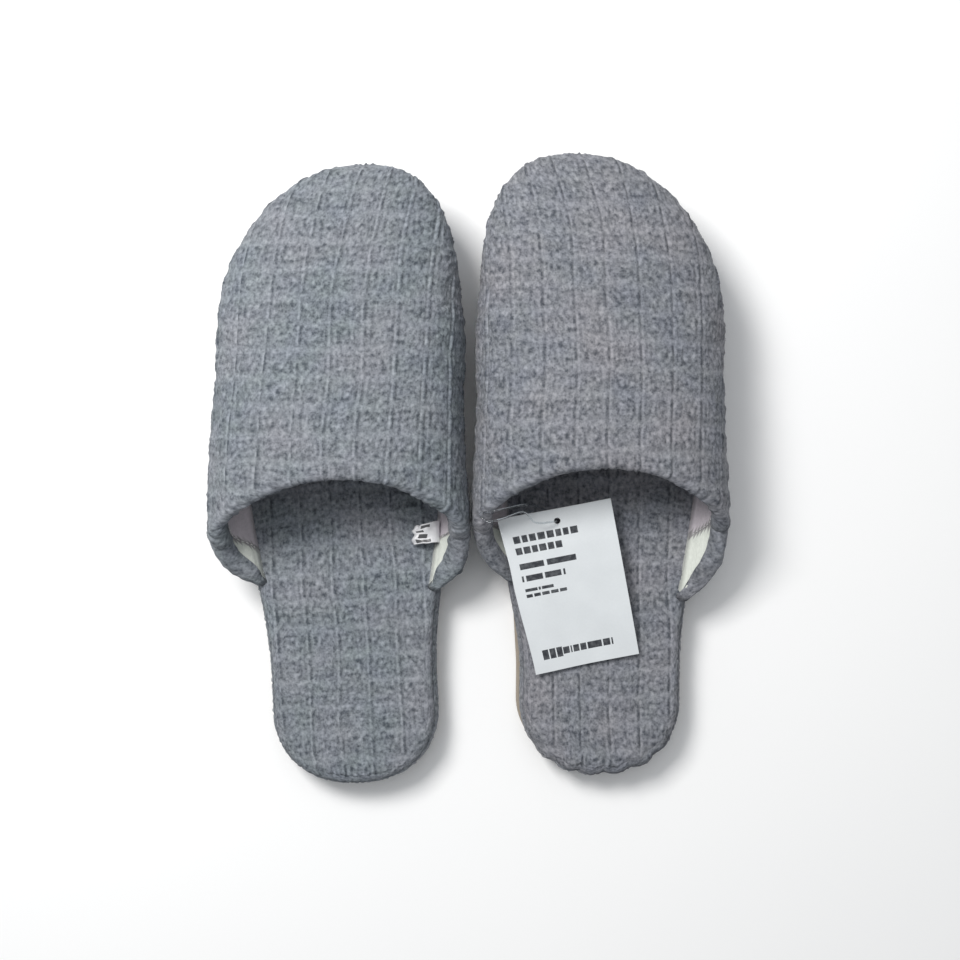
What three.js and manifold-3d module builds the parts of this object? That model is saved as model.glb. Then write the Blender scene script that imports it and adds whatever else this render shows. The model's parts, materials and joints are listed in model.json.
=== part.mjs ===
// A pair of open-backed spa slippers: fabric-covered foam soles, padded vamps with a
// rolled topline, a sewn care label in one and a hang tag looped through the other.
// Millimetres, +Z up, toes towards +Y, the right slipper towards +X.
// Each slipper is drawn in its own frame: back of the heel at y = 0, underside at z = 0,
// and +x towards the inner side of the foot. The right one is the mirror image.

import * as THREE from 'three';
import { mergeVertices } from 'three/addons/utils/BufferGeometryUtils.js';
import Module from 'manifold-3d';

const wasm = await Module();
wasm.setup();

// ---- Driving dimensions ----

// Sole outline
const SOLE_LENGTH = 276;
const HEEL_BREADTH = 75;
const BALL_BREADTH = 98;
const HEEL_STATION = 50; // the sole starts to widen here
const BALL_STATION = 150; // the sole is at its full breadth from here on
const HEEL_ROUND = 34; // length of the rounded heel end
const TOE_ROUND = 84; // length of the rounded toe end
const HEEL_POWER = 2.2; // superellipse powers of the two ends
const TOE_POWER = 2.3;
const TOE_SWING = 10.5; // how far the toe's tip leans to the inner side
const TOE_SWING_LENGTH = 65;
const TOE_SWING_POWER = 1.8;
const SIDE_BOW = 1; // the middle of the slipper bows outwards by this much

// Sole layers, from the floor up
const OUTSOLE_THICKNESS = 4;
const BOARD_THICKNESS = 1.5;
const CUSHION_THICKNESS = 13.2;
const COVER_THICKNESS = 1.4;
const BAND_THICKNESS = 1.4;
const BAND_FOOT_INSET = 0.5; // the side band turns in this much at its foot
const BAND_TOP_PROUD = 0.2; // and stands out past the footbed cover at its top
const OUTSOLE_EDGE = 0.6; // the outsole's side stands in from the widest line by this much
const OUTSOLE_FLANGE = 1.4; // and stands out again by this much beside the heel
const OUTSOLE_BEVEL = 1.4;
const CUSHION_INSET = 3;
const COVER_LIP = 1.4; // how far the cover's edge turns down
const COVER_EDGE = 1.1;
const COVER_SHOULDER = 0.56; // height of the cover's upright edge, below its bevel

// Upper
const THROAT_Y = 142; // back edge of the vamp on top, before its topline roll
const RIM_SIDE_Y = 115; // the same edge where the vamp is broadest
const RIM_FOOT_Y = 98; // and where it meets the sole
const WIDEST_HEIGHT = 15; // above the footbed
const THROAT_HEIGHT = 46; // above the footbed
const BALL_HEIGHT = 40;
const THROAT_BULGE = 7.6; // how far the vamp stands out past the ball breadth
const BALL_BULGE = 6.8;
const TOE_BULGE = 4;
const ARCH_POWER = 2.3;
const RIM_POWER = 0.65; // how squarely the back edge turns down from its top to its sides
const DOME_LENGTH = 92;
const DOME_POWER = 2.1;
const WALL_LEAN = 1.6;
const FOOT_INSET = 1;
const SHELL_THICKNESS = 1.4;
const PADDING_THICKNESS = 1.6;
const LINING_THICKNESS = 0.6;
const TOPLINE_RADIUS = 2.6;

// Flex line across the sole, just behind the vamp
const FLEX_Y = 88;

// Hang tag and its loop
const TAG_WIDTH = 50;
const TAG_LENGTH = 71;
const TAG_THICKNESS = 0.5;
const TAG_TURN = THREE.MathUtils.degToRad(11);
const TAG_HOLE_RADIUS = 1.8;
const TAG_HOLE_DROP = 5.5; // from the tag's top edge to the hole's centre
const TAG_HOLE_INSET = 30.5; // from the side of the ball to the hole, across the slipper
const TAG_HOLE_SETBACK = 0.5; // and behind the vamp's widest place
const TAG_HOLE_HEIGHT = 12; // above the footbed
const TAG_REST_HEIGHT = 2.6; // of the tag's heel end above the footbed
const TAG_HOLE_SIDES = 6; // facets in each quarter of the hole
const LOOP_RADIUS = 0.6;
const LOOP_CLEARANCE = 1.6; // between the loop's centre line and the topline roll
const LOOP_EYE_RADIUS = 1.4; // of the hole that the loop makes in the topline roll
const LOOP_EYE_SIDES = 8;
const LOOP_STEPS = 48;
const LOOP_SIDES = 6;

// Care label
const LABEL_WIDTH = 13.5;
const LABEL_LENGTH = 10.5;
const LABEL_THICKNESS = 0.6;
const LABEL_BEHIND = 0.6; // of the vamp's widest place
const LABEL_RISE = 3.4; // above the footbed
const LABEL_STANDOFF = 1.6; // from the lining
const LABEL_DROOP = THREE.MathUtils.degToRad(4);

// The pair
const PAIR_GAP = 2.2; // between the two vamps, beside their back edges
const RIGHT_FORWARD = 4.5;
const LEFT_TOE_OUT = THREE.MathUtils.degToRad(1.9);

// Clearance between touching pieces
const GAP = 0.3;
const TOPLINE_GAP = 0.7; // the roll's centre line is drawn in chords, so it keeps more

// Facets
const END_STEPS = 7;
const SIDE_STEPS = 5;
const ARCH_STEPS = 14;
const WALL_STEPS = 3;
const VAMP_ROWS = 5;
const TOE_ROWS = 6;
const TOPLINE_QUARTER = 4; // facets in each quarter of the roll
const WELD = 1e-4; // points closer than this are one point

// ---- Derived heights ----

const BOARD_Z = OUTSOLE_THICKNESS + GAP;
const CUSHION_Z = BOARD_Z + BOARD_THICKNESS + GAP;
const COVER_Z = CUSHION_Z + CUSHION_THICKNESS + GAP;
const FOOTBED_Z = COVER_Z + COVER_THICKNESS;
const UPPER_Z = FOOTBED_Z + GAP;
const BAND_TOP_Z = COVER_Z - COVER_LIP - GAP;
const WIDEST_Z = FOOTBED_Z + WIDEST_HEIGHT;

// ---- Derived places ----

const LABEL_Y = RIM_SIDE_Y - LABEL_BEHIND;
const LABEL_Z = FOOTBED_Z + LABEL_RISE;
const TAG_HOLE_X = BALL_BREADTH / 2 - TAG_HOLE_INSET;
const TAG_HOLE_Y = RIM_SIDE_Y - TAG_HOLE_SETBACK;
const TAG_SLOPE = Math.asin((TAG_HOLE_HEIGHT - TAG_REST_HEIGHT) / (TAG_LENGTH - TAG_HOLE_DROP));
// The left slipper's toes point out, which takes its vamp off the right one's.
const TOE_OUT_ROOM = RIM_SIDE_Y * Math.sin(LEFT_TOE_OUT);
const HEEL_SPACING = BALL_BREADTH + 2 * (THROAT_BULGE - SIDE_BOW) - TOE_OUT_ROOM + PAIR_GAP;

// ---- Finishes ----

function finish(red, green, blue, roughness) {
  return { color: new THREE.Color(red / 255, green / 255, blue / 255), roughness, metalness: 0 };
}

const WAFFLE = finish(132, 137, 144, 0.95);
const LINING = finish(196, 196, 198, 0.85);
const FOAM = finish(206, 202, 190, 0.9);
const SOLE = finish(164, 154, 142, 0.8);
const BOARD = finish(150, 128, 100, 0.9);
const CARD = finish(224, 227, 231, 0.6);
const SATIN = finish(232, 232, 234, 0.45);
const NYLON = finish(225, 228, 230, 0.25);

// ---- Small maths ----

function clamp01(t) {
  return Math.min(Math.max(t, 0), 1);
}

function ease(t) {
  const s = clamp01(t);
  return s * s * (3 - 2 * s);
}

function endRound(t, power) {
  return Math.pow(1 - Math.pow(clamp01(t), power), 1 / power);
}

// ---- Geometry helpers ----

function geometryFrom(points, triangles) {
  const geometry = new THREE.BufferGeometry();
  const positions = points.flatMap((p) => [p.x, p.y, p.z]);
  geometry.setAttribute('position', new THREE.Float32BufferAttribute(positions, 3));
  geometry.setIndex(triangles.flat());
  return geometry;
}

function closed(geometry) {
  const bare = geometry.clone();
  bare.deleteAttribute('normal');
  bare.deleteAttribute('uv');
  const merged = mergeVertices(bare, WELD);
  const index = merged.index.array;
  const kept = [];
  for (let i = 0; i < index.length; i += 3) {
    const [a, b, c] = [index[i], index[i + 1], index[i + 2]];
    if (a !== b && b !== c && c !== a) kept.push(a, b, c);
  }
  merged.setIndex(kept);
  return merged;
}

function signedVolume(geometry) {
  const p = geometry.attributes.position;
  const index = geometry.index.array;
  const [a, b, c] = [new THREE.Vector3(), new THREE.Vector3(), new THREE.Vector3()];
  let volume = 0;
  for (let i = 0; i < index.length; i += 3) {
    a.fromBufferAttribute(p, index[i]);
    b.fromBufferAttribute(p, index[i + 1]);
    c.fromBufferAttribute(p, index[i + 2]);
    volume += a.dot(b.cross(c)) / 6;
  }
  return volume;
}

function facingOut(geometry) {
  const shell = closed(geometry);
  if (signedVolume(shell) < 0) {
    const index = shell.index.array;
    for (let i = 0; i < index.length; i += 3) {
      [index[i + 1], index[i + 2]] = [index[i + 2], index[i + 1]];
    }
  }
  return shell;
}

function toSolid(geometry) {
  const shell = facingOut(geometry);
  return new wasm.Manifold(new wasm.Mesh({
    numProp: 3,
    vertProperties: new Float32Array(shell.attributes.position.array),
    triVerts: new Uint32Array(shell.index.array),
  }));
}

function fromSolid(solid) {
  const mesh = solid.getMesh();
  const geometry = new THREE.BufferGeometry();
  geometry.setAttribute('position', new THREE.Float32BufferAttribute(mesh.vertProperties, 3));
  geometry.setIndex([...mesh.triVerts]);
  return geometry;
}

function boxBetween(low, high) {
  const box = new THREE.BoxGeometry(high.x - low.x, high.y - low.y, high.z - low.z);
  box.translate((low.x + high.x) / 2, (low.y + high.y) / 2, (low.z + high.z) / 2);
  return box;
}

function rodAlong(from, to, radius, sides) {
  const span = to.clone().sub(from);
  const rod = new THREE.CylinderGeometry(radius, radius, span.length(), sides);
  const turn = new THREE.Quaternion().setFromUnitVectors(
    new THREE.Vector3(0, 1, 0),
    span.clone().normalize(),
  );
  rod.applyQuaternion(turn);
  rod.translate((from.x + to.x) / 2, (from.y + to.y) / 2, (from.z + to.z) / 2);
  return rod;
}

// ---- Sole outline ----

function bodyHalf(y) {
  const share = ease((y - HEEL_STATION) / (BALL_STATION - HEEL_STATION));
  return THREE.MathUtils.lerp(HEEL_BREADTH, BALL_BREADTH, share) / 2;
}

function centreLine(y) {
  const toTip = (SOLE_LENGTH + TOE_BULGE - y) / TOE_SWING_LENGTH;
  const swing = TOE_SWING * Math.pow(clamp01(1 - toTip), TOE_SWING_POWER);
  const bow = SIDE_BOW * ease(y / RIM_SIDE_Y) * ease((SOLE_LENGTH - y) / RIM_SIDE_Y);
  return swing - bow;
}

function soleHalf(y, inset) {
  const heel = endRound((HEEL_ROUND - y) / (HEEL_ROUND - inset), HEEL_POWER);
  const toe = endRound((y - SOLE_LENGTH + TOE_ROUND) / (TOE_ROUND - inset), TOE_POWER);
  return (bodyHalf(y) - inset) * heel * toe;
}

function heelFlange(y) {
  return OUTSOLE_FLANGE * ease(y / HEEL_ROUND) * ease((FLEX_Y - y) / HEEL_ROUND);
}

function soleRows(inset) {
  const rows = [];
  for (let i = 0; i < END_STEPS; i += 1) {
    const angle = (i / END_STEPS) * Math.PI / 2;
    rows.push(HEEL_ROUND - (HEEL_ROUND - inset) * Math.cos(angle));
  }
  const toeStart = SOLE_LENGTH - TOE_ROUND;
  for (let i = 0; i < SIDE_STEPS; i += 1) {
    rows.push(THREE.MathUtils.lerp(HEEL_ROUND, toeStart, i / SIDE_STEPS));
  }
  for (let i = 0; i <= END_STEPS; i += 1) {
    const angle = (i / END_STEPS) * Math.PI / 2;
    rows.push(toeStart + (TOE_ROUND - inset) * Math.sin(angle));
  }
  return rows;
}

function soleLoop(inset, z, flange) {
  const rows = soleRows(inset);
  const last = rows.length - 1;
  const side = (sign, y) => new THREE.Vector3(
    centreLine(y) + sign * (soleHalf(y, inset) + flange * heelFlange(y)),
    y,
    z,
  );
  const inner = rows.slice(0, last).map((y) => side(1, y));
  const outer = rows.slice(1, last + 1).reverse().map((y) => side(-1, y));
  return [...inner, ...outer];
}

// Rings of the sole's outline, one for each [inset, z] of a profile, joined into a solid.
// An open profile is closed by a flat cap at each end, a looped one by joining its ends.
function soleSolid(profile, { looped = false, flange = 0 } = {}) {
  const rings = profile.map(([inset, z]) => soleLoop(inset, z, flange));
  const count = rings[0].length;
  const points = rings.flat();
  const triangles = [];
  const joins = looped ? rings.length : rings.length - 1;
  for (let r = 0; r < joins; r += 1) {
    const low = r * count;
    const high = ((r + 1) % rings.length) * count;
    for (let i = 0; i < count; i += 1) {
      const next = (i + 1) % count;
      triangles.push([low + i, low + next, high + next], [low + i, high + next, high + i]);
    }
  }
  if (!looped) {
    const cap = (ring, start, flip) => {
      const contour = ring.map((p) => new THREE.Vector2(p.x, p.y));
      for (const [a, b, c] of THREE.ShapeUtils.triangulateShape(contour, [])) {
        triangles.push(flip ? [start + a, start + c, start + b] : [start + a, start + b, start + c]);
      }
    };
    cap(rings[0], 0, true);
    cap(rings[rings.length - 1], (rings.length - 1) * count, false);
  }
  return geometryFrom(points, triangles);
}

function splitAtFlex(geometry) {
  const reach = SOLE_LENGTH + BALL_BREADTH;
  const solid = toSolid(geometry);
  const fore = boxBetween(
    new THREE.Vector3(-reach, FLEX_Y + GAP / 2, -reach),
    new THREE.Vector3(reach, reach, reach),
  );
  const heel = boxBetween(
    new THREE.Vector3(-reach, -reach, -reach),
    new THREE.Vector3(reach, FLEX_Y - GAP / 2, reach),
  );
  return [fromSolid(solid.intersect(toSolid(fore))), fromSolid(solid.intersect(toSolid(heel)))];
}

// ---- Sole pieces ----

function outsole() {
  return soleSolid([
    [OUTSOLE_EDGE + OUTSOLE_BEVEL, 0],
    [OUTSOLE_EDGE, OUTSOLE_BEVEL],
    [OUTSOLE_EDGE, OUTSOLE_THICKNESS],
  ], { flange: 1 });
}

function insoleBoard() {
  return soleSolid([
    [CUSHION_INSET, BOARD_Z],
    [CUSHION_INSET, BOARD_Z + BOARD_THICKNESS],
  ]);
}

function cushion() {
  return soleSolid([
    [CUSHION_INSET, CUSHION_Z],
    [CUSHION_INSET, CUSHION_Z + CUSHION_THICKNESS],
  ]);
}

function cover() {
  const lipInset = CUSHION_INSET - GAP;
  const lipZ = COVER_Z - COVER_LIP;
  return soleSolid([
    [lipInset, COVER_Z],
    [lipInset, lipZ],
    [COVER_EDGE, lipZ],
    [COVER_EDGE, COVER_Z + COVER_SHOULDER],
    [COVER_EDGE + COVER_THICKNESS, FOOTBED_Z],
  ]);
}

function sideBand() {
  const middleZ = (BOARD_Z + BAND_TOP_Z) / 2;
  const lowInset = OUTSOLE_EDGE + BAND_FOOT_INSET;
  const topInset = COVER_EDGE - BAND_TOP_PROUD;
  return soleSolid([
    [lowInset, BOARD_Z],
    [0, middleZ],
    [topInset, BAND_TOP_Z],
    [topInset + BAND_THICKNESS, BAND_TOP_Z],
    [BAND_THICKNESS, middleZ],
    [lowInset + BAND_THICKNESS, BOARD_Z],
  ], { looped: true });
}

// ---- Upper ----

function upperHalf(y, depth) {
  const share = ease((y - RIM_SIDE_Y) / (BALL_STATION - RIM_SIDE_Y));
  const bulge = THREE.MathUtils.lerp(THROAT_BULGE, BALL_BULGE, share);
  const toe = endRound((y - SOLE_LENGTH + TOE_ROUND) / (TOE_ROUND + TOE_BULGE - depth), TOE_POWER);
  return (BALL_BREADTH / 2 + bulge - depth) * toe;
}

function archRise(y, depth) {
  const share = ease((y - THROAT_Y) / (SOLE_LENGTH - TOE_ROUND - THROAT_Y + DOME_LENGTH / 2));
  const crown = THREE.MathUtils.lerp(THROAT_HEIGHT, BALL_HEIGHT, share) - WIDEST_HEIGHT;
  const domeStart = SOLE_LENGTH - DOME_LENGTH;
  const dome = endRound((y - domeStart) / (DOME_LENGTH + TOE_BULGE - depth), DOME_POWER);
  return (crown - depth) * dome;
}

// Row k of the vamp: y where it crosses an edge that starts at rimY and ends at tipY.
function vampRow(row, rimY, tipY) {
  const toeStart = SOLE_LENGTH - TOE_ROUND;
  if (row <= VAMP_ROWS) return THREE.MathUtils.lerp(rimY, toeStart, row / VAMP_ROWS);
  const angle = ((row - VAMP_ROWS) / TOE_ROWS) * Math.PI / 2;
  return toeStart + (tipY - toeStart) * Math.sin(angle);
}

// A point of the vamp at a depth below its outer face. across runs from 0 at the outer
// side's foot, up the wall, over the arch and down to the inner side's foot.
function vampPoint(across, row, depth) {
  const stepsAcross = ARCH_STEPS + 2 * WALL_STEPS;
  const fromEnd = Math.min(across, stepsAcross - across);
  const sign = across < stepsAcross / 2 ? -1 : 1;
  const topTip = SOLE_LENGTH + TOE_BULGE - depth;
  const footInset = FOOT_INSET + depth;
  if (fromEnd < WALL_STEPS) {
    const height = fromEnd / WALL_STEPS;
    const rimY = THREE.MathUtils.lerp(RIM_FOOT_Y, RIM_SIDE_Y, height);
    const topY = vampRow(row, rimY, topTip);
    const footY = vampRow(row, rimY, SOLE_LENGTH - footInset);
    const out = 1 - Math.pow(1 - height, WALL_LEAN);
    const topX = centreLine(topY) + sign * upperHalf(topY, depth);
    const footX = centreLine(footY) + sign * soleHalf(footY, footInset);
    return new THREE.Vector3(
      THREE.MathUtils.lerp(footX, topX, out),
      THREE.MathUtils.lerp(footY, topY, out),
      THREE.MathUtils.lerp(UPPER_Z, WIDEST_Z, height),
    );
  }
  const angle = ((fromEnd - WALL_STEPS) / (ARCH_STEPS / 2)) * Math.PI / 2;
  const reach = Math.pow(Math.max(Math.cos(angle), 0), 2 / ARCH_POWER);
  const rise = Math.pow(1 - reach * reach, RIM_POWER);
  const y = vampRow(row, THREE.MathUtils.lerp(RIM_SIDE_Y, THROAT_Y, rise), topTip);
  const lift = Math.pow(Math.sin(angle), 2 / ARCH_POWER);
  return new THREE.Vector3(
    centreLine(y) + sign * upperHalf(y, depth) * (fromEnd === stepsAcross / 2 ? 0 : reach),
    y,
    WIDEST_Z + archRise(y, depth) * lift,
  );
}

// One layer of the vamp, between two depths below its outer face.
function vampLayer(topDepth, thickness) {
  const columns = ARCH_STEPS + 2 * WALL_STEPS + 1;
  const rows = VAMP_ROWS + TOE_ROWS + 1;
  const points = [];
  for (const depth of [topDepth, topDepth + thickness]) {
    for (let row = 0; row < rows; row += 1) {
      for (let across = 0; across < columns; across += 1) {
        points.push(vampPoint(across, row, depth));
      }
    }
  }
  const at = (face, row, across) => (face * rows + row) * columns + across;
  const triangles = [];
  for (let row = 0; row < rows - 1; row += 1) {
    for (let across = 0; across < columns - 1; across += 1) {
      for (const face of [0, 1]) {
        const a = at(face, row, across);
        const b = at(face, row, across + 1);
        const c = at(face, row + 1, across + 1);
        const d = at(face, row + 1, across);
        if (face === 0) triangles.push([a, c, b], [a, d, c]);
        else triangles.push([a, b, c], [a, c, d]);
      }
    }
    for (const across of [0, columns - 1]) {
      const [a, b] = [at(0, row, across), at(1, row, across)];
      const [c, d] = [at(1, row + 1, across), at(0, row + 1, across)];
      if (across === 0) triangles.push([a, b, c], [a, c, d]);
      else triangles.push([a, c, b], [a, d, c]);
    }
  }
  for (let across = 0; across < columns - 1; across += 1) {
    const [a, b] = [at(0, 0, across), at(0, 0, across + 1)];
    const [c, d] = [at(1, 0, across + 1), at(1, 0, across)];
    triangles.push([a, b, c], [a, c, d]);
  }
  return geometryFrom(points, triangles);
}

const PADDING_DEPTH = SHELL_THICKNESS + GAP;
const LINING_DEPTH = PADDING_DEPTH + PADDING_THICKNESS + GAP;
const UPPER_DEPTH = LINING_DEPTH + LINING_THICKNESS;

// The direction that the topline runs in at a station, and the one it faces, off the vamp.
function toplineFrame(across) {
  const depth = UPPER_DEPTH / 2;
  const edge = vampPoint(across, 0, depth);
  const before = vampPoint(Math.max(across - 1, 0), 0, depth);
  const after = vampPoint(Math.min(across + 1, ARCH_STEPS + 2 * WALL_STEPS), 0, depth);
  const along = after.sub(before).normalize();
  const back = edge.clone().sub(vampPoint(across, 1, depth));
  back.addScaledVector(along, -back.dot(along)).normalize();
  return { edge, along, back };
}

// The centre of the rolled topline, which follows the layers' back edge a clearance away.
function toplinePoint(across) {
  const { edge, back } = toplineFrame(across);
  return edge.clone().addScaledVector(back, TOPLINE_RADIUS + TOPLINE_GAP);
}

function topline() {
  const stepsAcross = ARCH_STEPS + 2 * WALL_STEPS;
  const points = [];
  for (let across = 0; across <= stepsAcross; across += 1) points.push(toplinePoint(across));
  const first = points[0].clone().sub(points[1]).normalize();
  const last = points[stepsAcross].clone().sub(points[stepsAcross - 1]).normalize();
  points.unshift(points[0].clone().addScaledVector(first, TOPLINE_RADIUS));
  points.push(points[points.length - 1].clone().addScaledVector(last, TOPLINE_RADIUS));
  const section = new THREE.Shape();
  section.absarc(0, 0, TOPLINE_RADIUS, 0, Math.PI * 2);
  const roll = new THREE.ExtrudeGeometry(section, {
    steps: stepsAcross + 2,
    curveSegments: TOPLINE_QUARTER,
    bevelEnabled: false,
    extrudePath: new THREE.CatmullRomCurve3(points),
  });
  const reach = SOLE_LENGTH;
  const aboveSole = boxBetween(
    new THREE.Vector3(-reach, -reach, UPPER_Z),
    new THREE.Vector3(reach, reach, reach),
  );
  return fromSolid(toSolid(roll).intersect(toSolid(aboveSole)));
}

// ---- The pieces of one slipper, in its own frame ----

function slipperPieces() {
  const pieces = {};
  const split = { outsole: outsole(), insole_board: insoleBoard(), cushion: cushion() };
  split.footbed_cover = cover();
  split.side_band = sideBand();
  const looks = {
    outsole: SOLE, insole_board: BOARD, cushion: FOAM, footbed_cover: WAFFLE, side_band: WAFFLE,
  };
  for (const [name, geometry] of Object.entries(split)) {
    const [fore, heel] = splitAtFlex(geometry);
    pieces[`${name}_fore`] = { geometry: fore, look: looks[name] };
    pieces[`${name}_heel`] = { geometry: heel, look: looks[name] };
  }
  pieces.vamp_shell = { geometry: vampLayer(0, SHELL_THICKNESS), look: WAFFLE };
  pieces.vamp_padding = { geometry: vampLayer(PADDING_DEPTH, PADDING_THICKNESS), look: FOAM };
  pieces.vamp_lining = { geometry: vampLayer(LINING_DEPTH, LINING_THICKNESS), look: LINING };
  pieces.topline_roll = { geometry: topline(), look: WAFFLE };
  return pieces;
}

// ---- Hang tag, its loop, and the care label ----

const LOOP_COLUMN = ARCH_STEPS + WALL_STEPS - 2; // where the loop goes through the topline
const LOOP_EYE = toplinePoint(LOOP_COLUMN);
const TAG_HOLE = new THREE.Vector3(TAG_HOLE_X, TAG_HOLE_Y, FOOTBED_Z + TAG_HOLE_HEIGHT);
// The tag's own directions in the slipper's frame: its width, and from its top edge to its foot.
const TAG_ACROSS = new THREE.Vector3(Math.cos(TAG_TURN), -Math.sin(TAG_TURN), 0);
const TAG_DOWN = new THREE.Vector3(
  -Math.sin(TAG_TURN) * Math.cos(TAG_SLOPE),
  -Math.cos(TAG_TURN) * Math.cos(TAG_SLOPE),
  -Math.sin(TAG_SLOPE),
);

function hangTag() {
  const card = new THREE.Shape();
  card.moveTo(-TAG_WIDTH / 2, TAG_HOLE_DROP);
  card.lineTo(-TAG_WIDTH / 2, TAG_HOLE_DROP - TAG_LENGTH);
  card.lineTo(TAG_WIDTH / 2, TAG_HOLE_DROP - TAG_LENGTH);
  card.lineTo(TAG_WIDTH / 2, TAG_HOLE_DROP);
  const hole = new THREE.Path();
  hole.absarc(0, 0, TAG_HOLE_RADIUS, 0, Math.PI * 2, true);
  card.holes.push(hole);
  const tag = new THREE.ExtrudeGeometry(card, {
    depth: TAG_THICKNESS,
    bevelEnabled: false,
    curveSegments: TAG_HOLE_SIDES,
  });
  tag.translate(0, 0, -TAG_THICKNESS / 2);
  const up = TAG_DOWN.clone().negate();
  const normal = new THREE.Vector3().crossVectors(TAG_ACROSS, up).normalize();
  tag.applyMatrix4(new THREE.Matrix4().makeBasis(TAG_ACROSS, up, normal));
  tag.translate(TAG_HOLE.x, TAG_HOLE.y, TAG_HOLE.z);
  return tag;
}

// A closed ring of nylon: through the topline roll, round its back, to the tag's hole,
// down through it and back under the tag's top edge. Its route is a list of points chosen
// by hand, from the eye in the roll and from the tag's hole.
function loopCurve() {
  const { along, back } = toplineFrame(LOOP_COLUMN);
  const through = TOPLINE_RADIUS / Math.sin(along.angleTo(TAG_ACROSS)) + LOOP_CLEARANCE;
  const behind = TOPLINE_RADIUS + LOOP_CLEARANCE;
  const up = new THREE.Vector3(0, 0, 1);
  const atEye = (across, rear, rise) => LOOP_EYE.clone()
    .addScaledVector(TAG_ACROSS, across)
    .addScaledVector(back, rear)
    .addScaledVector(up, rise);
  const atHole = (across, down, rise) => TAG_HOLE.clone()
    .addScaledVector(TAG_ACROSS, across)
    .addScaledVector(TAG_DOWN, down)
    .addScaledVector(up, rise);
  return new THREE.CatmullRomCurve3([
    atEye(0, 0, 0),
    atEye(through, 0, 0),
    atEye(through * 0.7, behind, 0),
    atEye(-through * 0.6, behind * 1.1, 0),
    atEye(-through * 2.6, behind * 0.8, -3),
    atHole(9, -1, 6.5),
    atHole(1.8, 0, 3.4),
    atHole(0, 0, 0),
    atHole(1, -3, -3.4),
    atHole(7, -8, -2.4),
    atEye(-through * 3, 0, -6),
    atEye(-through, 0, 0),
  ], true);
}

function tagLoop() {
  return new THREE.TubeGeometry(loopCurve(), LOOP_STEPS, LOOP_RADIUS, LOOP_SIDES, true);
}

function loopEye() {
  const reach = TAG_ACROSS.clone().multiplyScalar(TOPLINE_RADIUS * 2);
  const from = LOOP_EYE.clone().sub(reach);
  const to = LOOP_EYE.clone().add(reach);
  return rodAlong(from, to, LOOP_EYE_RADIUS, LOOP_EYE_SIDES);
}

function labelHinge() {
  const depth = UPPER_DEPTH + LABEL_STANDOFF;
  const share = (LABEL_Z - UPPER_Z) / (WIDEST_Z - UPPER_Z);
  const out = 1 - (1 - share) ** WALL_LEAN;
  const foot = soleHalf(LABEL_Y, FOOT_INSET + depth);
  const wall = THREE.MathUtils.lerp(foot, upperHalf(LABEL_Y, depth), out);
  return new THREE.Vector3(centreLine(LABEL_Y) + wall, LABEL_Y, LABEL_Z);
}

function careLabel() {
  const tab = new THREE.BoxGeometry(LABEL_WIDTH, LABEL_LENGTH, LABEL_THICKNESS);
  tab.translate(-LABEL_WIDTH / 2, 0, 0);
  tab.rotateY(-LABEL_DROOP);
  const hinge = labelHinge();
  tab.translate(hinge.x, hinge.y, hinge.z);
  return tab;
}

// ---- Assembly ----

function addPiece(group, name, geometry, look, mirrored) {
  const placed = geometry.clone();
  if (mirrored) placed.scale(-1, 1, 1);
  const mesh = new THREE.Mesh(facingOut(placed), new THREE.MeshStandardMaterial(look));
  mesh.name = name;
  group.add(mesh);
}

function slipper(side, mirrored, extras) {
  const group = new THREE.Group();
  const pieces = slipperPieces();
  if (extras.throughTopline) {
    const roll = toSolid(pieces.topline_roll.geometry).subtract(toSolid(extras.throughTopline));
    pieces.topline_roll.geometry = fromSolid(roll);
  }
  for (const [name, piece] of Object.entries(pieces)) {
    addPiece(group, `${side}_${name}`, piece.geometry, piece.look, mirrored);
  }
  for (const [name, piece] of Object.entries(extras.pieces)) {
    addPiece(group, name, piece.geometry, piece.look, mirrored);
  }
  return group;
}

const left = slipper('left', false, {
  pieces: { care_label: { geometry: careLabel(), look: SATIN } },
});
left.rotation.z = LEFT_TOE_OUT;
left.position.x = -HEEL_SPACING / 2;

const right = slipper('right', true, {
  throughTopline: loopEye(),
  pieces: {
    tag_loop: { geometry: tagLoop(), look: NYLON },
    hang_tag: { geometry: hangTag(), look: CARD },
  },
});
right.position.set(HEEL_SPACING / 2, RIGHT_FORWARD, 0);

// The origin is under the middle of the pair, on the floor.
const pair = new THREE.Group();
pair.add(left, right);
const bounds = new THREE.Box3().setFromObject(pair, true);
const middle = bounds.getCenter(new THREE.Vector3());
pair.position.set(-middle.x, -middle.y, -bounds.min.z);

export default pair;
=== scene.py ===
"""A pair of open-backed spa slippers in grey waffle cloth, with a hang tag on a nylon loop.

Each slipper is worked out in millimetres in its own frame, with the back of its heel at y = 0,
its underside at z = 0 and +x towards the inner side of the foot, then set in the row frame.
"""

import json
import math

import bmesh
import bpy
import numpy as np
from mathutils import Matrix, Vector


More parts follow.
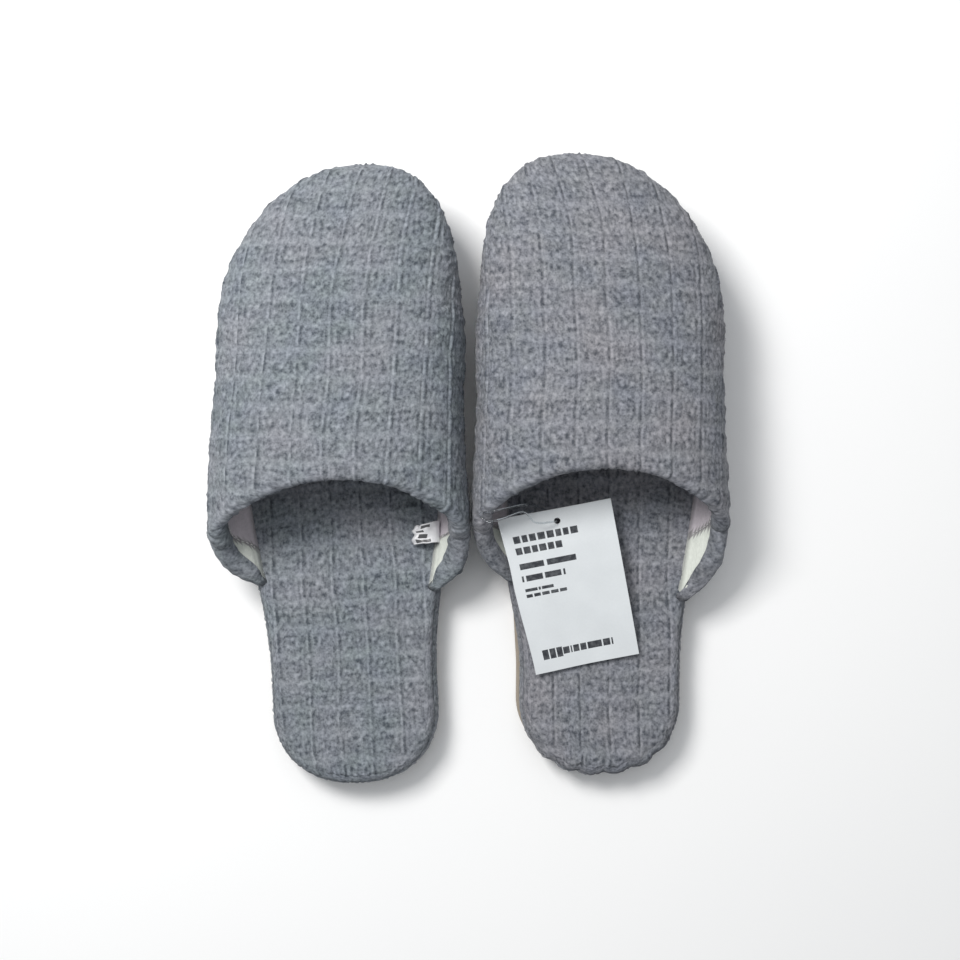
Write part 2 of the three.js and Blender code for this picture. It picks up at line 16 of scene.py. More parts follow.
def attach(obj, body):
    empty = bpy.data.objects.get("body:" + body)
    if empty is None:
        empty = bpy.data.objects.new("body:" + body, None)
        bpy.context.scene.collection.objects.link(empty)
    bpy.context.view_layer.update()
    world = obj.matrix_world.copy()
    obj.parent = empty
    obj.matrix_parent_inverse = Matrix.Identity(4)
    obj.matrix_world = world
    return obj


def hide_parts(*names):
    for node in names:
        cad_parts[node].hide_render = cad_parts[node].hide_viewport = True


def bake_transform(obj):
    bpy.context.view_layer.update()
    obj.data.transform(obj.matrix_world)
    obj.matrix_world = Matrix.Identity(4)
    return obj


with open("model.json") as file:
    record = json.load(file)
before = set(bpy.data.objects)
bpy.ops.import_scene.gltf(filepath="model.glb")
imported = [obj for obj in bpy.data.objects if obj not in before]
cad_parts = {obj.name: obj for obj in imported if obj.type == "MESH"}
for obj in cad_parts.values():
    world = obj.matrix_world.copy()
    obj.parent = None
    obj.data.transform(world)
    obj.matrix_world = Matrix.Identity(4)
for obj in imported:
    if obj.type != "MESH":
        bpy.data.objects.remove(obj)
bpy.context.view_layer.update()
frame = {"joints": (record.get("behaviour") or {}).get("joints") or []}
JOINTS = {joint["name"]: joint for joint in frame["joints"]}
MM = 0.001

# ---- Sole, in millimetres ----

SOLE_LENGTH = 276.0
HEEL_BREADTH = 75.0
BALL_BREADTH = 98.0
HEEL_STATION = 50.0
BALL_STATION = 150.0
HEEL_ROUND = 34.0
TOE_ROUND = 84.0
HEEL_POWER = 2.2
TOE_POWER = 2.3
TOE_SWING = 10.5
TOE_SWING_LENGTH = 65.0
TOE_SWING_POWER = 1.8
SIDE_BOW = 1.0
FLEX_Y = 88.0

OUTSOLE_TOP = 4.0
LUG_HEIGHT = 1.1
BOARD_LOW, BOARD_TOP = 4.3, 5.8
FOAM_LOW, FOAM_TOP = 6.1, 18.9
FOAM_INSET = 3.4
BAND_LOW, BAND_TOP = 4.2, 18.0
FOOTBED_Z = 21.0
COVER_THICKNESS = 1.2
COVER_ROUND = 3.2  # radius of the footbed's rolled edge
COVER_INSET = 1.2

# ---- Upper ----

THROAT_Y = 142.0
RIM_SIDE_Y = 115.0
RIM_FOOT_Y = 98.0
UPPER_Z = 21.2
SEAM_Z = 18.3  # the vamp is sewn in under the footbed's edge at this height
WIDEST_Z = 36.0
THROAT_RISE = 31.0
BALL_RISE = 25.0
THROAT_BULGE = 7.6
BALL_BULGE = 6.8
TOE_BULGE = 4.0
ARCH_POWER = 2.3
RIM_POWER = 0.65
DOME_LENGTH = 92.0
DOME_POWER = 2.1
WALL_LEAN = 2.0
FOOT_INSET = 0.8
CLOTH = 1.2  # thickness of the waffle cloth
PADDING = (2.1, 3.3)  # depths below the outer face
LINING = (3.5, 4.2)
FOLD_RADIUS = 2.8
HEM_WIDTH = 8.0

# ---- Weave of the waffle cloth ----

RIB_PITCH = 14.0
BAND_PITCH = 12.2
STITCH_ACROSS = 1.75
STITCH_ALONG = 1.53


def ease(t):
    s = np.clip(t, 0, 1)
    return s * s * (3 - 2 * s)


def end_round(t, power):
    return (1 - np.clip(t, 0, 1) ** power) ** (1 / power)


def lerp(a, b, t):
    return a + (b - a) * t


# ---- Outlines ----


def centre_line(y):
    to_tip = (SOLE_LENGTH + TOE_BULGE - y) / TOE_SWING_LENGTH
    swing = TOE_SWING * np.clip(1 - to_tip, 0, 1) ** TOE_SWING_POWER
    bow = SIDE_BOW * ease(y / RIM_SIDE_Y) * ease((SOLE_LENGTH - y) / RIM_SIDE_Y)
    return swing - bow


def sole_half(y, inset):
    share = ease((y - HEEL_STATION) / (BALL_STATION - HEEL_STATION))
    half = lerp(HEEL_BREADTH, BALL_BREADTH, share) / 2 - inset
    heel = end_round((HEEL_ROUND - y) / (HEEL_ROUND - inset), HEEL_POWER)
    toe = end_round((y - SOLE_LENGTH + TOE_ROUND) / (TOE_ROUND - inset), TOE_POWER)
    return half * heel * toe


def upper_half(y, depth):
    share = ease((y - RIM_SIDE_Y) / (BALL_STATION - RIM_SIDE_Y))
    bulge = lerp(THROAT_BULGE, BALL_BULGE, share)
    toe = end_round((y - SOLE_LENGTH + TOE_ROUND) / (TOE_ROUND + TOE_BULGE - depth), TOE_POWER)
    return (BALL_BREADTH / 2 + bulge - depth) * toe


def arch_rise(y, depth):
    share = ease((y - THROAT_Y) / (SOLE_LENGTH - TOE_ROUND - THROAT_Y + DOME_LENGTH / 2))
    crown = lerp(THROAT_RISE, BALL_RISE, share)
    dome = end_round((y - SOLE_LENGTH + DOME_LENGTH) / (DOME_LENGTH + TOE_BULGE - depth), DOME_POWER)
    return (crown - depth) * dome


# ---- The vamp's surface: across in [-1, 1], forward in [0, 1] from its back edge to the toe ----

STRAIGHT_SHARE = 0.33  # of the rows that lie behind the rounded toe
WALL_SHARE = 0.1  # of the columns that lie on each side wall


def arch_angles():
    """Angles up the arch at equal steps of its length, from its side to its crown."""
    angle = np.linspace(0, math.pi / 2, 400)
    reach = BALL_BREADTH / 2 * np.cos(angle).clip(0) ** (2 / ARCH_POWER)
    lift = THROAT_RISE * np.sin(angle) ** (2 / ARCH_POWER)
    run = np.concatenate([[0], np.cumsum(np.hypot(np.diff(reach), np.diff(lift)))])
    return run / run[-1], angle


ARCH_RUN, ARCH_ANGLE = arch_angles()


def forward_y(forward, rim_y, tip_y):
    start = SOLE_LENGTH - TOE_ROUND
    straight = lerp(rim_y, start, forward / STRAIGHT_SHARE)
    turn = np.clip((forward - STRAIGHT_SHARE) / (1 - STRAIGHT_SHARE), 0, 1) * math.pi / 2
    return np.where(forward <= STRAIGHT_SHARE, straight, start + (tip_y - start) * np.sin(turn))


def vamp(across, forward, depth, rim_foot=(RIM_FOOT_Y, RIM_FOOT_Y)):
    """Points of the vamp at a depth below its outer face, as an array of shape (..., 3).

    rim_foot is where its back edge meets the sole on the outer side and on the inner side.
    """
    across, forward, depth = np.broadcast_arrays(across, forward, depth)
    foot_rim = np.where(across < 0, rim_foot[0], rim_foot[1])
    side = np.sign(across)
    from_edge = 1 - np.abs(across)
    tip = SOLE_LENGTH + TOE_BULGE - depth

    height = np.clip(from_edge / WALL_SHARE, 0, 1)
    rim_y = lerp(foot_rim, RIM_SIDE_Y, height)
    foot_inset = FOOT_INSET + depth
    top_y = forward_y(forward, rim_y, tip)
    foot_y = forward_y(forward, rim_y, SOLE_LENGTH - foot_inset)
    out = 1 - (1 - height) ** WALL_LEAN
    sewn_in = (UPPER_Z - SEAM_Z) * ease((foot_y - foot_rim - 2) / 12) * (depth < PADDING[0])
    foot_z = UPPER_Z - sewn_in
    wall = np.stack([
        lerp(centre_line(foot_y) + side * sole_half(foot_y, foot_inset),
             centre_line(top_y) + side * upper_half(top_y, depth), out),
        lerp(foot_y, top_y, out),
        lerp(foot_z, WIDEST_Z, height),
    ], -1)

    angle = np.interp((from_edge - WALL_SHARE) / (1 - WALL_SHARE), ARCH_RUN, ARCH_ANGLE)
    reach = np.cos(angle).clip(0) ** (2 / ARCH_POWER)
    rise = (1 - reach * reach) ** RIM_POWER
    y = forward_y(forward, lerp(RIM_SIDE_Y, THROAT_Y, rise), tip)
    arch = np.stack([
        centre_line(y) + side * upper_half(y, depth) * reach,
        y,
        WIDEST_Z + arch_rise(y, depth) * np.sin(angle) ** (2 / ARCH_POWER),
    ], -1)
    return np.where((from_edge < WALL_SHARE)[..., None], wall, arch)


def unit(v):
    return v / np.maximum(np.linalg.norm(v, axis=-1, keepdims=True), 1e-9)


def rim_frame(surface, across, depth):
    """The back edge of a surface at a depth, with its directions along and off the vamp."""
    step = 0.004
    edge = surface(across, 0.0, depth)
    along = unit(surface(np.clip(across + step, -1, 1), 0.0, depth)
                 - surface(np.clip(across - step, -1, 1), 0.0, depth))
    back = edge - surface(across, step, depth)
    back = unit(back - (back * along).sum(-1, keepdims=True) * along)
    return edge, along, back


def grid_normals(points, closed=False):
    """Unit normals of a grid of points, by its own neighbours."""
    down = np.gradient(points, axis=0)
    if closed:
        right = np.roll(points, -1, 1) - np.roll(points, 1, 1)
    else:
        right = np.gradient(points, axis=1)
    return unit(np.cross(right, down))


# ---- Noise and relief ----


def lattice(x, y, seed):
    """Smooth noise from 0 to 1 with one random value at each whole number."""
    table = np.random.default_rng(seed).random((128, 128))
    xi, yi = np.floor(x).astype(int), np.floor(y).astype(int)
    fx, fy = ease(x - xi), ease(y - yi)
    at = lambda i, j: table[(xi + i) % 128, (yi + j) % 128]
    return lerp(lerp(at(0, 0), at(1, 0), fx), lerp(at(0, 1), at(1, 1), fx), fy)


def settle(a, b, seed, lean):
    """Cloth coordinates as sewn: the weave leans a little and wanders."""
    drift = lattice(a / 26 + 40, b / 31 + 40, seed) - 0.5
    rise = lattice(a / 33 + 40, b / 27 + 40, seed + 1) - 0.5
    flutter = lattice(a / 7 + 60, b / 9 + 60, seed + 2) - 0.5
    return a + lean * b + 2.2 * drift + 0.5 * flutter, b + 2.4 * rise - lean * a + 0.5 * flutter


def waffle_relief(a, b, seed, rib=1.0):
    """Height in millimetres of the woven relief at cloth coordinates a and b."""
    off_rib = ((a / RIB_PITCH + 0.5) % 1 - 0.5) * RIB_PITCH
    off_band = ((b / BAND_PITCH + 0.5) % 1 - 0.5) * BAND_PITCH
    band = np.exp(-((off_band / 1.2) ** 2))
    broken = lattice(a / RIB_PITCH + 0.5 + 90, b / 5.0 + 90, seed + 2)
    between = lerp(0.25, 1.0, ease((np.abs(off_band) - 1.0) / 2.2)) * lerp(0.55, 1.0, broken)
    ribs = rib * 0.5 * np.exp(-(((off_rib + 0.5) / 0.55) ** 2)) * between
    slit = -rib * 0.95 * np.exp(-(((off_rib - 0.75) / 0.5) ** 2)) * between
    second = -rib * 0.3 * np.exp(-(((off_rib + 1.9) / 0.5) ** 2)) * between
    inside = np.minimum(np.abs(off_rib) - 2.2, np.abs(off_band) - 1.6)
    cell = ease(inside / 1.2)
    rings = 0.14 * np.cos(2 * math.pi * inside / 2.7) * cell
    stitch = lattice(a / STITCH_ACROSS + 300, b / STITCH_ALONG + 300, seed) - 0.5
    fine = lattice(a / 1.0 + 700, b / 1.3 + 700, seed + 5) - 0.5
    knit = (0.4 + 0.6 * cell) * (0.8 * stitch + 0.36 * fine)
    return ribs + slit + second + 0.15 * band + rings - 0.1 * cell + knit


def spline_weights(dense, count):
    """Rows of cubic B-spline weights that read a coarse line of points at positions in [0, 1]."""
    t = np.clip(dense, 0, 1) * (count - 1)
    cell = np.minimum(np.floor(t).astype(int), count - 2)
    f = t - cell
    parts = [(1 - f) ** 3 / 6, (3 * f ** 3 - 6 * f ** 2 + 4) / 6,
             (-3 * f ** 3 + 3 * f ** 2 + 3 * f + 1) / 6, f ** 3 / 6]
    weights = np.zeros((len(t), count))
    for step, part in zip((-1, 0, 1, 2), parts):
        np.add.at(weights, (np.arange(len(t)), np.clip(cell + step, 0, count - 1)), part)
    return weights


def spread(coarse, down, right):
    """A coarse grid of moves read at the dense grid's own positions down and right."""
    by_row = spline_weights(down, coarse.shape[0])
    by_column = spline_weights(right, coarse.shape[1])
    return np.einsum("ij,jkc,lk->ilc", by_row, coarse, by_column)


# ---- Cloth simulation on a coarse grid ----

SIM_SCALE = 0.02  # simulation units in a millimetre: a slipper is worked at about 5 units
SIM_FRAMES = 18
SLIDE_ROOM = 0.4


def simulate(grid, held, pressure, slack, room):
    """How far each point of a coarse grid moves as cloth with some slack, in millimetres.

    room is how far in and how far out the cloth may go between the layers beside it.
    """
    rows, columns = grid.shape[:2]
    mesh = bpy.data.meshes.new("cloth_trial")
    index = np.arange(rows * columns).reshape(rows, columns)
    quads = np.stack([index[:-1, :-1], index[:-1, 1:], index[1:, 1:], index[1:, :-1]], -1)
    mesh.from_pydata((grid.reshape(-1, 3) * SIM_SCALE).tolist(), [], quads.reshape(-1, 4).tolist())
    cloth = bpy.data.objects.new("cloth_trial", mesh)
    bpy.context.scene.collection.objects.link(cloth)
    group = cloth.vertex_groups.new(name="held")
    for vertex, weight in enumerate(held.ravel()):
        group.add([vertex], float(weight), "REPLACE")
    modifier = cloth.modifiers.new("cloth", "CLOTH")
    cloth_settings = modifier.settings
    cloth_settings.quality = 6
    cloth_settings.mass = 0.15
    cloth_settings.tension_stiffness = 25
    cloth_settings.compression_stiffness = 25
    cloth_settings.shear_stiffness = 8
    cloth_settings.bending_stiffness = 1.2
    cloth_settings.air_damping = 3
    cloth_settings.vertex_group_mass = "held"
    cloth_settings.pin_stiffness = 4
    cloth_settings.shrink_min = -slack
    cloth_settings.use_pressure = True
    cloth_settings.uniform_pressure_force = pressure
    cloth_settings.effector_weights.gravity = 0
    modifier.point_cache.frame_start = 1
    modifier.point_cache.frame_end = SIM_FRAMES
    scene = bpy.context.scene
    for number in range(1, SIM_FRAMES + 1):
        scene.frame_set(number)
    moved = cloth.evaluated_get(bpy.context.evaluated_depsgraph_get())
    points = np.array([v.co for v in moved.data.vertices], float).reshape(grid.shape) / SIM_SCALE
    scene.frame_set(1)
    bpy.data.objects.remove(cloth)
    bpy.data.meshes.remove(mesh)
    move = points - grid
    out = -grid_normals(grid)
    lift = (move * out).sum(-1, keepdims=True)
    slide = move - lift * out
    length = np.linalg.norm(slide, axis=-1, keepdims=True)
    return slide * np.minimum(1, SLIDE_ROOM / np.maximum(length, 1e-9)) + np.clip(lift, *room) * out


# ---- Placing a slipper in the row frame ----

# How each slipper has settled, in millimetres
WEAR = {
    "left": {
        "toe_shift": 2.1, "toe_short": 1.0, "outer_flare": 3.4, "inner_flare": -0.2,
        "rim_foot": (94.0, 89.0), "heel_slim": 0.0, "gather": 0.55, "outer_plump": 5.4, "inner_plump": 4.6,
    },
    "right": {
        "toe_shift": 1.4, "toe_short": 0.4, "outer_flare": -0.8, "inner_flare": 1.5,
        "rim_foot": (81.0, 89.0), "heel_slim": 2.4, "gather": 0.18, "outer_plump": 3.2, "inner_plump": 4.2,
    },
}


class Foot:
    """One slipper: where it stands in the row frame, and the names of its bodies."""

    def __init__(self, side):
        self.side = side
        self.mirrored = side == "right"
        flex = JOINTS[f"{side}_heel_flex"]
        axis = Vector(flex["axis"]).normalized()
        up = Vector((0, 0, 1))
        self.forward = np.array(up.cross(-axis))
        self.inward = np.array(axis if self.mirrored else -axis)
        flex_point = np.array(flex["pos_m"]) / MM
        self.origin = flex_point - FLEX_Y * self.forward - FOOTBED_Z * np.array(up)
        self.slipper = f"{side}_slipper"
        self.heel = f"{side}_heel"
        self.seed = 11 if side == "left" else 47
        self.wear = WEAR[side]

    def vamp(self, across, forward, depth):
        """The vamp at a depth, with its wings plump: there the inner layers stand further in."""
        points = vamp(across, forward, depth, self.wear["rim_foot"])
        from_edge = 1 - np.abs(across)
        plump = np.where(across < 0, self.wear["outer_plump"], self.wear["inner_plump"])
        near = ease(from_edge / 0.035) * (1 - ease((from_edge - 0.14) / 0.2)) * (1 - ease(forward / 0.17))
        points[..., 0] -= np.sign(across) * plump * near * np.clip(depth / LINING[1], 0, 1.35)
        return points

    def worn(self, points):
        """Points after the slipper's own wear: a shifted toe, a flared wall and a slimmer heel."""
        x, y, z = points[..., 0], points[..., 1], points[..., 2]
        upper = ease((z - 20) / 12) * ease((y - 92) / 26) * ease((215 - y) / 80)
        toe = ease((y - 140) / 90)
        heel = ease((90 - y) / 45) * ease(x / 30)
        move_x = (self.wear["toe_shift"] * toe - self.wear["outer_flare"] * upper * ease((-x - 8) / 36)
                  + self.wear["inner_flare"] * upper * ease((x - 8) / 36) - self.wear["heel_slim"] * heel)
        move_y = -self.wear["toe_short"] * ease((y - 200) / 76)
        return points + np.stack([move_x, move_y, np.zeros_like(x)], -1)

    def place(self, points):
        """Points of the slipper's own frame, in millimetres, as row frame points in metres."""
        points = self.worn(np.asarray(points, float))
        turned = points[..., 0:1] * self.inward + points[..., 1:2] * self.forward
        return (turned + self.origin + points[..., 2:3] * np.array([0, 0, 1.0])) * MM

    def local(self, point):
        """A row frame point in metres, in the slipper's own frame."""
        away = np.array(point) / MM - self.origin
        return np.array([away @ self.inward, away @ self.forward, away[2]])

    def turn(self, direction):
        """A row frame direction in the slipper's own frame."""
        direction = np.array(direction, float)
        return np.array([direction @ self.inward, direction @ self.forward, direction[2]])

    def bend(self, piece):
        """The piece's transform, baked into its mesh; the points start and end are worked out but not used.
        """
        start = self.place([0, FLEX_Y + 3, FOOTBED_Z])
        end = self.place([0, FLEX_Y - 26, FOOTBED_Z])
        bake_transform(piece)


# ---- Mesh building ----


class Maker:
    """Collects grids of points and the faces that join them, then makes one mesh object."""

    def __init__(self, foot=None):
        self.foot = foot
        self.points, self.faces, self.weave, self.values = [], [], [], {}
        self.count = 0

    def grid(self, points, weave=None, closed=False, **values):
        """A grid of points with its faces. closed joins the last column to the first."""
        rows, columns = points.shape[:2]
        index = np.arange(rows * columns).reshape(rows, columns) + self.count
        self.points.append(points.reshape(-1, 3))
        if weave is None:
            weave = points[..., :2]
        self.weave.append(np.asarray(weave).reshape(-1, 2))
        for name, value in values.items():
            filled = np.broadcast_to(value, (rows, columns)).reshape(-1)
            self.values.setdefault(name, []).append((self.count, filled))
        self.count += rows * columns
        wide = np.concatenate([index, index[:, :1]], 1) if closed else index
        quads = np.stack([wide[:-1, :-1], wide[:-1, 1:], wide[1:, 1:], wide[1:, :-1]], -1)
        self.faces.extend(quads.reshape(-1, 4).tolist())
        return index

    def zip(self, one, other):
        """Joins two rows of points, of any two lengths, by triangles."""
        i = j = 0
        while i < len(one) - 1 or j < len(other) - 1:
            ahead = (i + 1) / (len(one) - 1) <= (j + 1) / (len(other) - 1)
            if j == len(other) - 1 or (i < len(one) - 1 and ahead):
                self.faces.append([int(one[i]), int(one[i + 1]), int(other[j])])
                i += 1
            else:
                self.faces.append([int(one[i]), int(other[j + 1]), int(other[j])])
                j += 1

    def make(self, name, material, weld=0.004):
        """The finished object, its doubles merged and its faces pointing out."""
        points = np.concatenate(self.points)
        placed = self.foot.place(points) if self.foot else points * MM
        mesh = bpy.data.meshes.new(name)
        mesh.from_pydata(placed.tolist(), [], self.faces)
        weave = np.concatenate(self.weave) / 100
        corners = np.zeros(len(mesh.loops), int)
        mesh.loops.foreach_get("vertex_index", corners)
        layer = mesh.uv_layers.new(name="weave")
        layer.data.foreach_set("uv", weave[corners].astype(np.float32).ravel())
        for value_name, parts in self.values.items():
            full = np.zeros(len(points), np.float32)
            for start, part in parts:
                full[start:start + len(part)] = part
            attribute = mesh.attributes.new(value_name, "FLOAT", "POINT")
            attribute.data.foreach_set("value", full)
        tidy(mesh, weld * MM)
        mesh.shade_smooth()
        mesh.materials.append(material)
        piece = bpy.data.objects.new(name, mesh)
        bpy.context.scene.collection.objects.link(piece)
        return piece


def tidy(mesh, weld):
    work = bmesh.new()
    work.from_mesh(mesh)
    bmesh.ops.remove_doubles(work, verts=work.verts, dist=weld)
    bmesh.ops.dissolve_degenerate(work, edges=work.edges, dist=weld / 4)
    bmesh.ops.recalc_face_normals(work, faces=work.faces)
    work.to_mesh(mesh)
    work.free()


# ---- Materials ----


class Look:
    """One procedural material, built node by node."""

    def __init__(self, name, roughness=0.8, **constants):
        self.material = bpy.data.materials.new(name)
        self.material.use_nodes = True
        self.tree = self.material.node_tree
        self.surface = self.tree.nodes["Principled BSDF"]
        self.surface.inputs["Roughness"].default_value = roughness
        for label, value in constants.items():
            self.surface.inputs[label.replace("_", " ")].default_value = value

    def put(self, socket, value):
        if isinstance(value, bpy.types.NodeSocket):
            self.tree.links.new(value, socket)
        elif value is not None:
            socket.default_value = value

    def add(self, kind, *inputs, output=0, **settings):
        made = self.tree.nodes.new("ShaderNode" + kind)
        for name, value in settings.items():
            setattr(made, name, value)
        for socket, value in zip(made.inputs, inputs):
            self.put(socket, value)
        return made.outputs[output]

    def maths(self, operation, a, b=None, clamp=False):
        return self.add("Math", a, b, operation=operation, use_clamp=clamp)

    def weave(self):
        """The piece's cloth coordinates, in millimetres."""
        uv = self.add("UVMap", uv_map="weave")
        made = self.tree.nodes.new("ShaderNodeVectorMath")
        made.operation = "SCALE"
        self.put(made.inputs["Vector"], uv)
        made.inputs["Scale"].default_value = 100
        return made.outputs["Vector"]

    def place(self):
        """The piece's own coordinates, in millimetres."""
        made = self.tree.nodes.new("ShaderNodeVectorMath")
        made.operation = "SCALE"
        self.put(made.inputs["Vector"], self.add("TexCoord", output=3))
        made.inputs["Scale"].default_value = 1000
        return made.outputs["Vector"]

    def moved(self, vector, offset=(0, 0, 0), scale=(1, 1, 1)):
        made = self.tree.nodes.new("ShaderNodeMapping")
        self.put(made.inputs["Vector"], vector)
        made.inputs["Location"].default_value = offset
        made.inputs["Scale"].default_value = scale
        return made.outputs["Vector"]

    def noise(self, vector, scale, detail=2.0, rough=0.5):
        made = self.tree.nodes.new("ShaderNodeTexNoise")
        self.put(made.inputs["Vector"], vector)
        made.inputs["Scale"].default_value = scale
        made.inputs["Detail"].default_value = detail
        made.inputs["Roughness"].default_value = rough
        return made.outputs["Fac"]

    def cells(self, vector, scale, feature="F1"):
        made = self.tree.nodes.new("ShaderNodeTexVoronoi")
        made.feature = feature
        self.put(made.inputs["Vector"], vector)
        made.inputs["Scale"].default_value = scale
        return made.outputs["Distance"]

    def value(self, name):
        return self.add("Attribute", output=2, attribute_name=name, attribute_type="GEOMETRY")

    def blend(self, factor, a, b, how="MIX"):
        made = self.tree.nodes.new("ShaderNodeMix")
        made.data_type = "RGBA"
        made.blend_type = how
        self.put(made.inputs[0], factor)
        self.put(made.inputs[6], a)
        self.put(made.inputs[7], b)
        return made.outputs[2]

    def spread(self, value, low, high, to_low=0.0, to_high=1.0):
        made = self.tree.nodes.new("ShaderNodeMapRange")
        for socket, v in zip(made.inputs, (value, low, high, to_low, to_high)):
            self.put(socket, v)
        return made.outputs[0]

    def bump(self, height, distance, strength=1.0):
        made = self.tree.nodes.new("ShaderNodeBump")
        made.inputs["Strength"].default_value = strength
        made.inputs["Distance"].default_value = distance * MM
        self.put(made.inputs["Height"], height)
        self.put(self.surface.inputs["Normal"], made.outputs["Normal"])

    def colour(self, value):
        self.put(self.surface.inputs["Base Color"], value)


def srgb(red, green, blue):
    """A linear colour from eight-bit display values."""
    linear = [c / 255 / 12.92 if c <= 10 else ((c / 255 + 0.055) / 1.055) ** 2.4
              for c in (red, green, blue)]
    return (*linear, 1.0)


def waffle_look(name, shade):
    """Heathered grey waffle cloth in yarns of several greys, with painted shade in the hollows of its relief
    and painted light on its ribs.
    """
    look = Look(name, roughness=0.92, Sheen_Weight=0.1, Sheen_Roughness=0.45)
    look.surface.inputs["Specular IOR Level"].default_value = 0.15
    weave = look.weave()
    yarn = look.noise(look.moved(weave, scale=(1, 0.85, 1)), 0.62, 3, 0.66)
    knit = look.noise(look.moved(weave, offset=(31, 17, 0)), 0.36, 1.5, 0.5)
    fleck = look.cells(look.moved(weave, scale=(1, 0.85, 1)), 0.5)
    speck = look.cells(look.moved(weave, offset=(57, 23, 0)), 0.78)
    cloud = look.noise(look.moved(weave, offset=(9, 70, 4)), 0.03, 2, 0.5)
    tint = look.noise(look.moved(weave, offset=(400, 3, 0)), 0.09, 2, 0.5)
    relief = look.value("relief")
    # Painted shade and light: the colour is darkened where the relief is low and lightened where it is high;
    # the yarn, knit, fleck, speck and cloud terms after it are the cloth's own greys.
    tone = look.spread(relief, -0.8, 0.6, -0.42, 0.3)
    tone = look.maths("ADD", tone, look.spread(yarn, 0.28, 0.72, -0.36, 0.36))
    tone = look.maths("ADD", tone, look.spread(knit, 0.3, 0.7, -0.14, 0.14))
    tone = look.maths("ADD", tone, look.spread(fleck, 0.1, 0.9, 0.16, -0.16))
    tone = look.maths("ADD", tone, look.spread(speck, 0.05, 0.5, -0.2, 0.05))
    tone = look.maths("ADD", tone, look.spread(cloud, 0.3, 0.7, -0.06, 0.06))
    tone = look.maths("ADD", tone, 0.5, clamp=True)
    cool = look.blend(look.spread(tint, 0.35, 0.65), srgb(*shade["green"]), srgb(*shade["blue"]))
    warm = look.blend(look.spread(cloud, 0.4, 0.75), cool, srgb(*shade["mauve"]))
    # A darker copy of the cloth's colour, which the painted shade of the hollows mixes towards.
    dark = look.blend(1.0, warm, srgb(134, 138, 143), "MULTIPLY")
    look.colour(look.blend(tone, dark, warm))
    look.bump(look.maths("ADD", yarn, look.maths("MULTIPLY", knit, 0.8)), 0.55, 0.8)
    return look.material


def lining_look():
    """Off-white brushed cotton in two panels: the forward one, in under the vamp, is painted darker and
    pinker as shade, and a painted shadow darkens the fold where the two meet.
    """
    look = Look("lining_cloth", roughness=0.85, Sheen_Weight=0.25, Sheen_Roughness=0.4)
    weave = look.weave()
    nap = look.noise(look.moved(weave, scale=(1, 0.35, 1)), 1.4, 4, 0.6)
    threads = look.noise(look.moved(weave, scale=(0.3, 2.2, 1)), 1.1, 2, 0.5)
    soil = look.noise(weave, 0.05, 3, 0.55)
    side = look.value("panel")
    # Painted shade: the forward part of the lining, in under the vamp, gets a darker, pinker white than the
    # back part.
    panel = look.blend(side, srgb(214, 206, 213), srgb(226, 230, 222))
    # Painted shade: a dark line along the fold at the seam, where the lining creases.
    seam = look.maths("MULTIPLY", side, look.maths("SUBTRACT", 1.0, side))
    panel = look.blend(look.maths("MULTIPLY", seam, 3.0), panel, srgb(120, 116, 120))
    shade = look.maths("ADD", look.spread(nap, 0.3, 0.7, -0.08, 0.08), look.spread(soil, 0.3, 0.7, 0.82, 1.0))
    white = look.add("CombineColor", shade, shade, shade)
    look.colour(look.blend(1.0, panel, white, "MULTIPLY"))
    look.bump(look.maths("ADD", nap, look.maths("MULTIPLY", threads, 0.5)), 0.16, 0.6)
    return look.material


def foam_look():
    look = Look("cushion_foam", roughness=0.95)
    place = look.place()
    pores = look.cells(place, 1.3)
    fine = look.noise(place, 2.5, 3)
    tone = look.spread(pores, 0.0, 0.8, 0.0, 1.0)
    look.colour(look.blend(tone, srgb(178, 168, 138), srgb(228, 222, 200)))
    look.bump(look.maths("ADD", pores, look.maths("MULTIPLY", fine, 0.4)), 0.5)
    return look.material


def board_look():
    look = Look("pressed_board", roughness=0.9)
    place = look.place()
    fibre = look.noise(look.moved(place, scale=(1, 0.15, 1)), 0.8, 5, 0.65)
    fleck = look.noise(place, 2.2, 2)
    tone = look.maths("ADD", look.spread(fibre, 0.3, 0.7),
                      look.spread(fleck, 0.4, 0.7, -0.2, 0.2), clamp=True)
    look.colour(look.blend(tone, srgb(104, 80, 56), srgb(168, 142, 108)))
    look.bump(fibre, 0.15)
    return look.material


def outsole_look():
    """Beige moulded foam rubber with a fine closed-cell skin, scuffed where it stands proud."""
    look = Look("moulded_outsole", roughness=0.62)
    look.surface.inputs["Specular IOR Level"].default_value = 0.35
    place = look.place()
    skin = look.cells(place, 1.6)
    cloud = look.noise(place, 0.05, 4, 0.6)
    grain = look.noise(place, 3.2, 3)
    tone = look.maths("ADD", look.spread(cloud, 0.3, 0.7, 0.2, 0.7),
                      look.spread(grain, 0.3, 0.7, -0.15, 0.15))
    base = look.blend(tone, srgb(138, 128, 116), srgb(176, 166, 152))
    rub = look.noise(look.moved(place, scale=(1, 0.3, 1)), 0.35, 5, 0.7)
    low = look.add("SeparateXYZ", place, output=2)
    worn = look.maths("MULTIPLY", look.spread(low, 0.5, 0.02), look.spread(rub, 0.45, 0.62))
    look.colour(look.blend(look.maths("MULTIPLY", worn, 0.6), base, srgb(96, 90, 84)))
    look.put(look.surface.inputs["Roughness"], look.spread(grain, 0.3, 0.7, 0.52, 0.74))
    look.bump(look.maths("ADD", skin, grain), 0.12, 0.6)
    return look.material


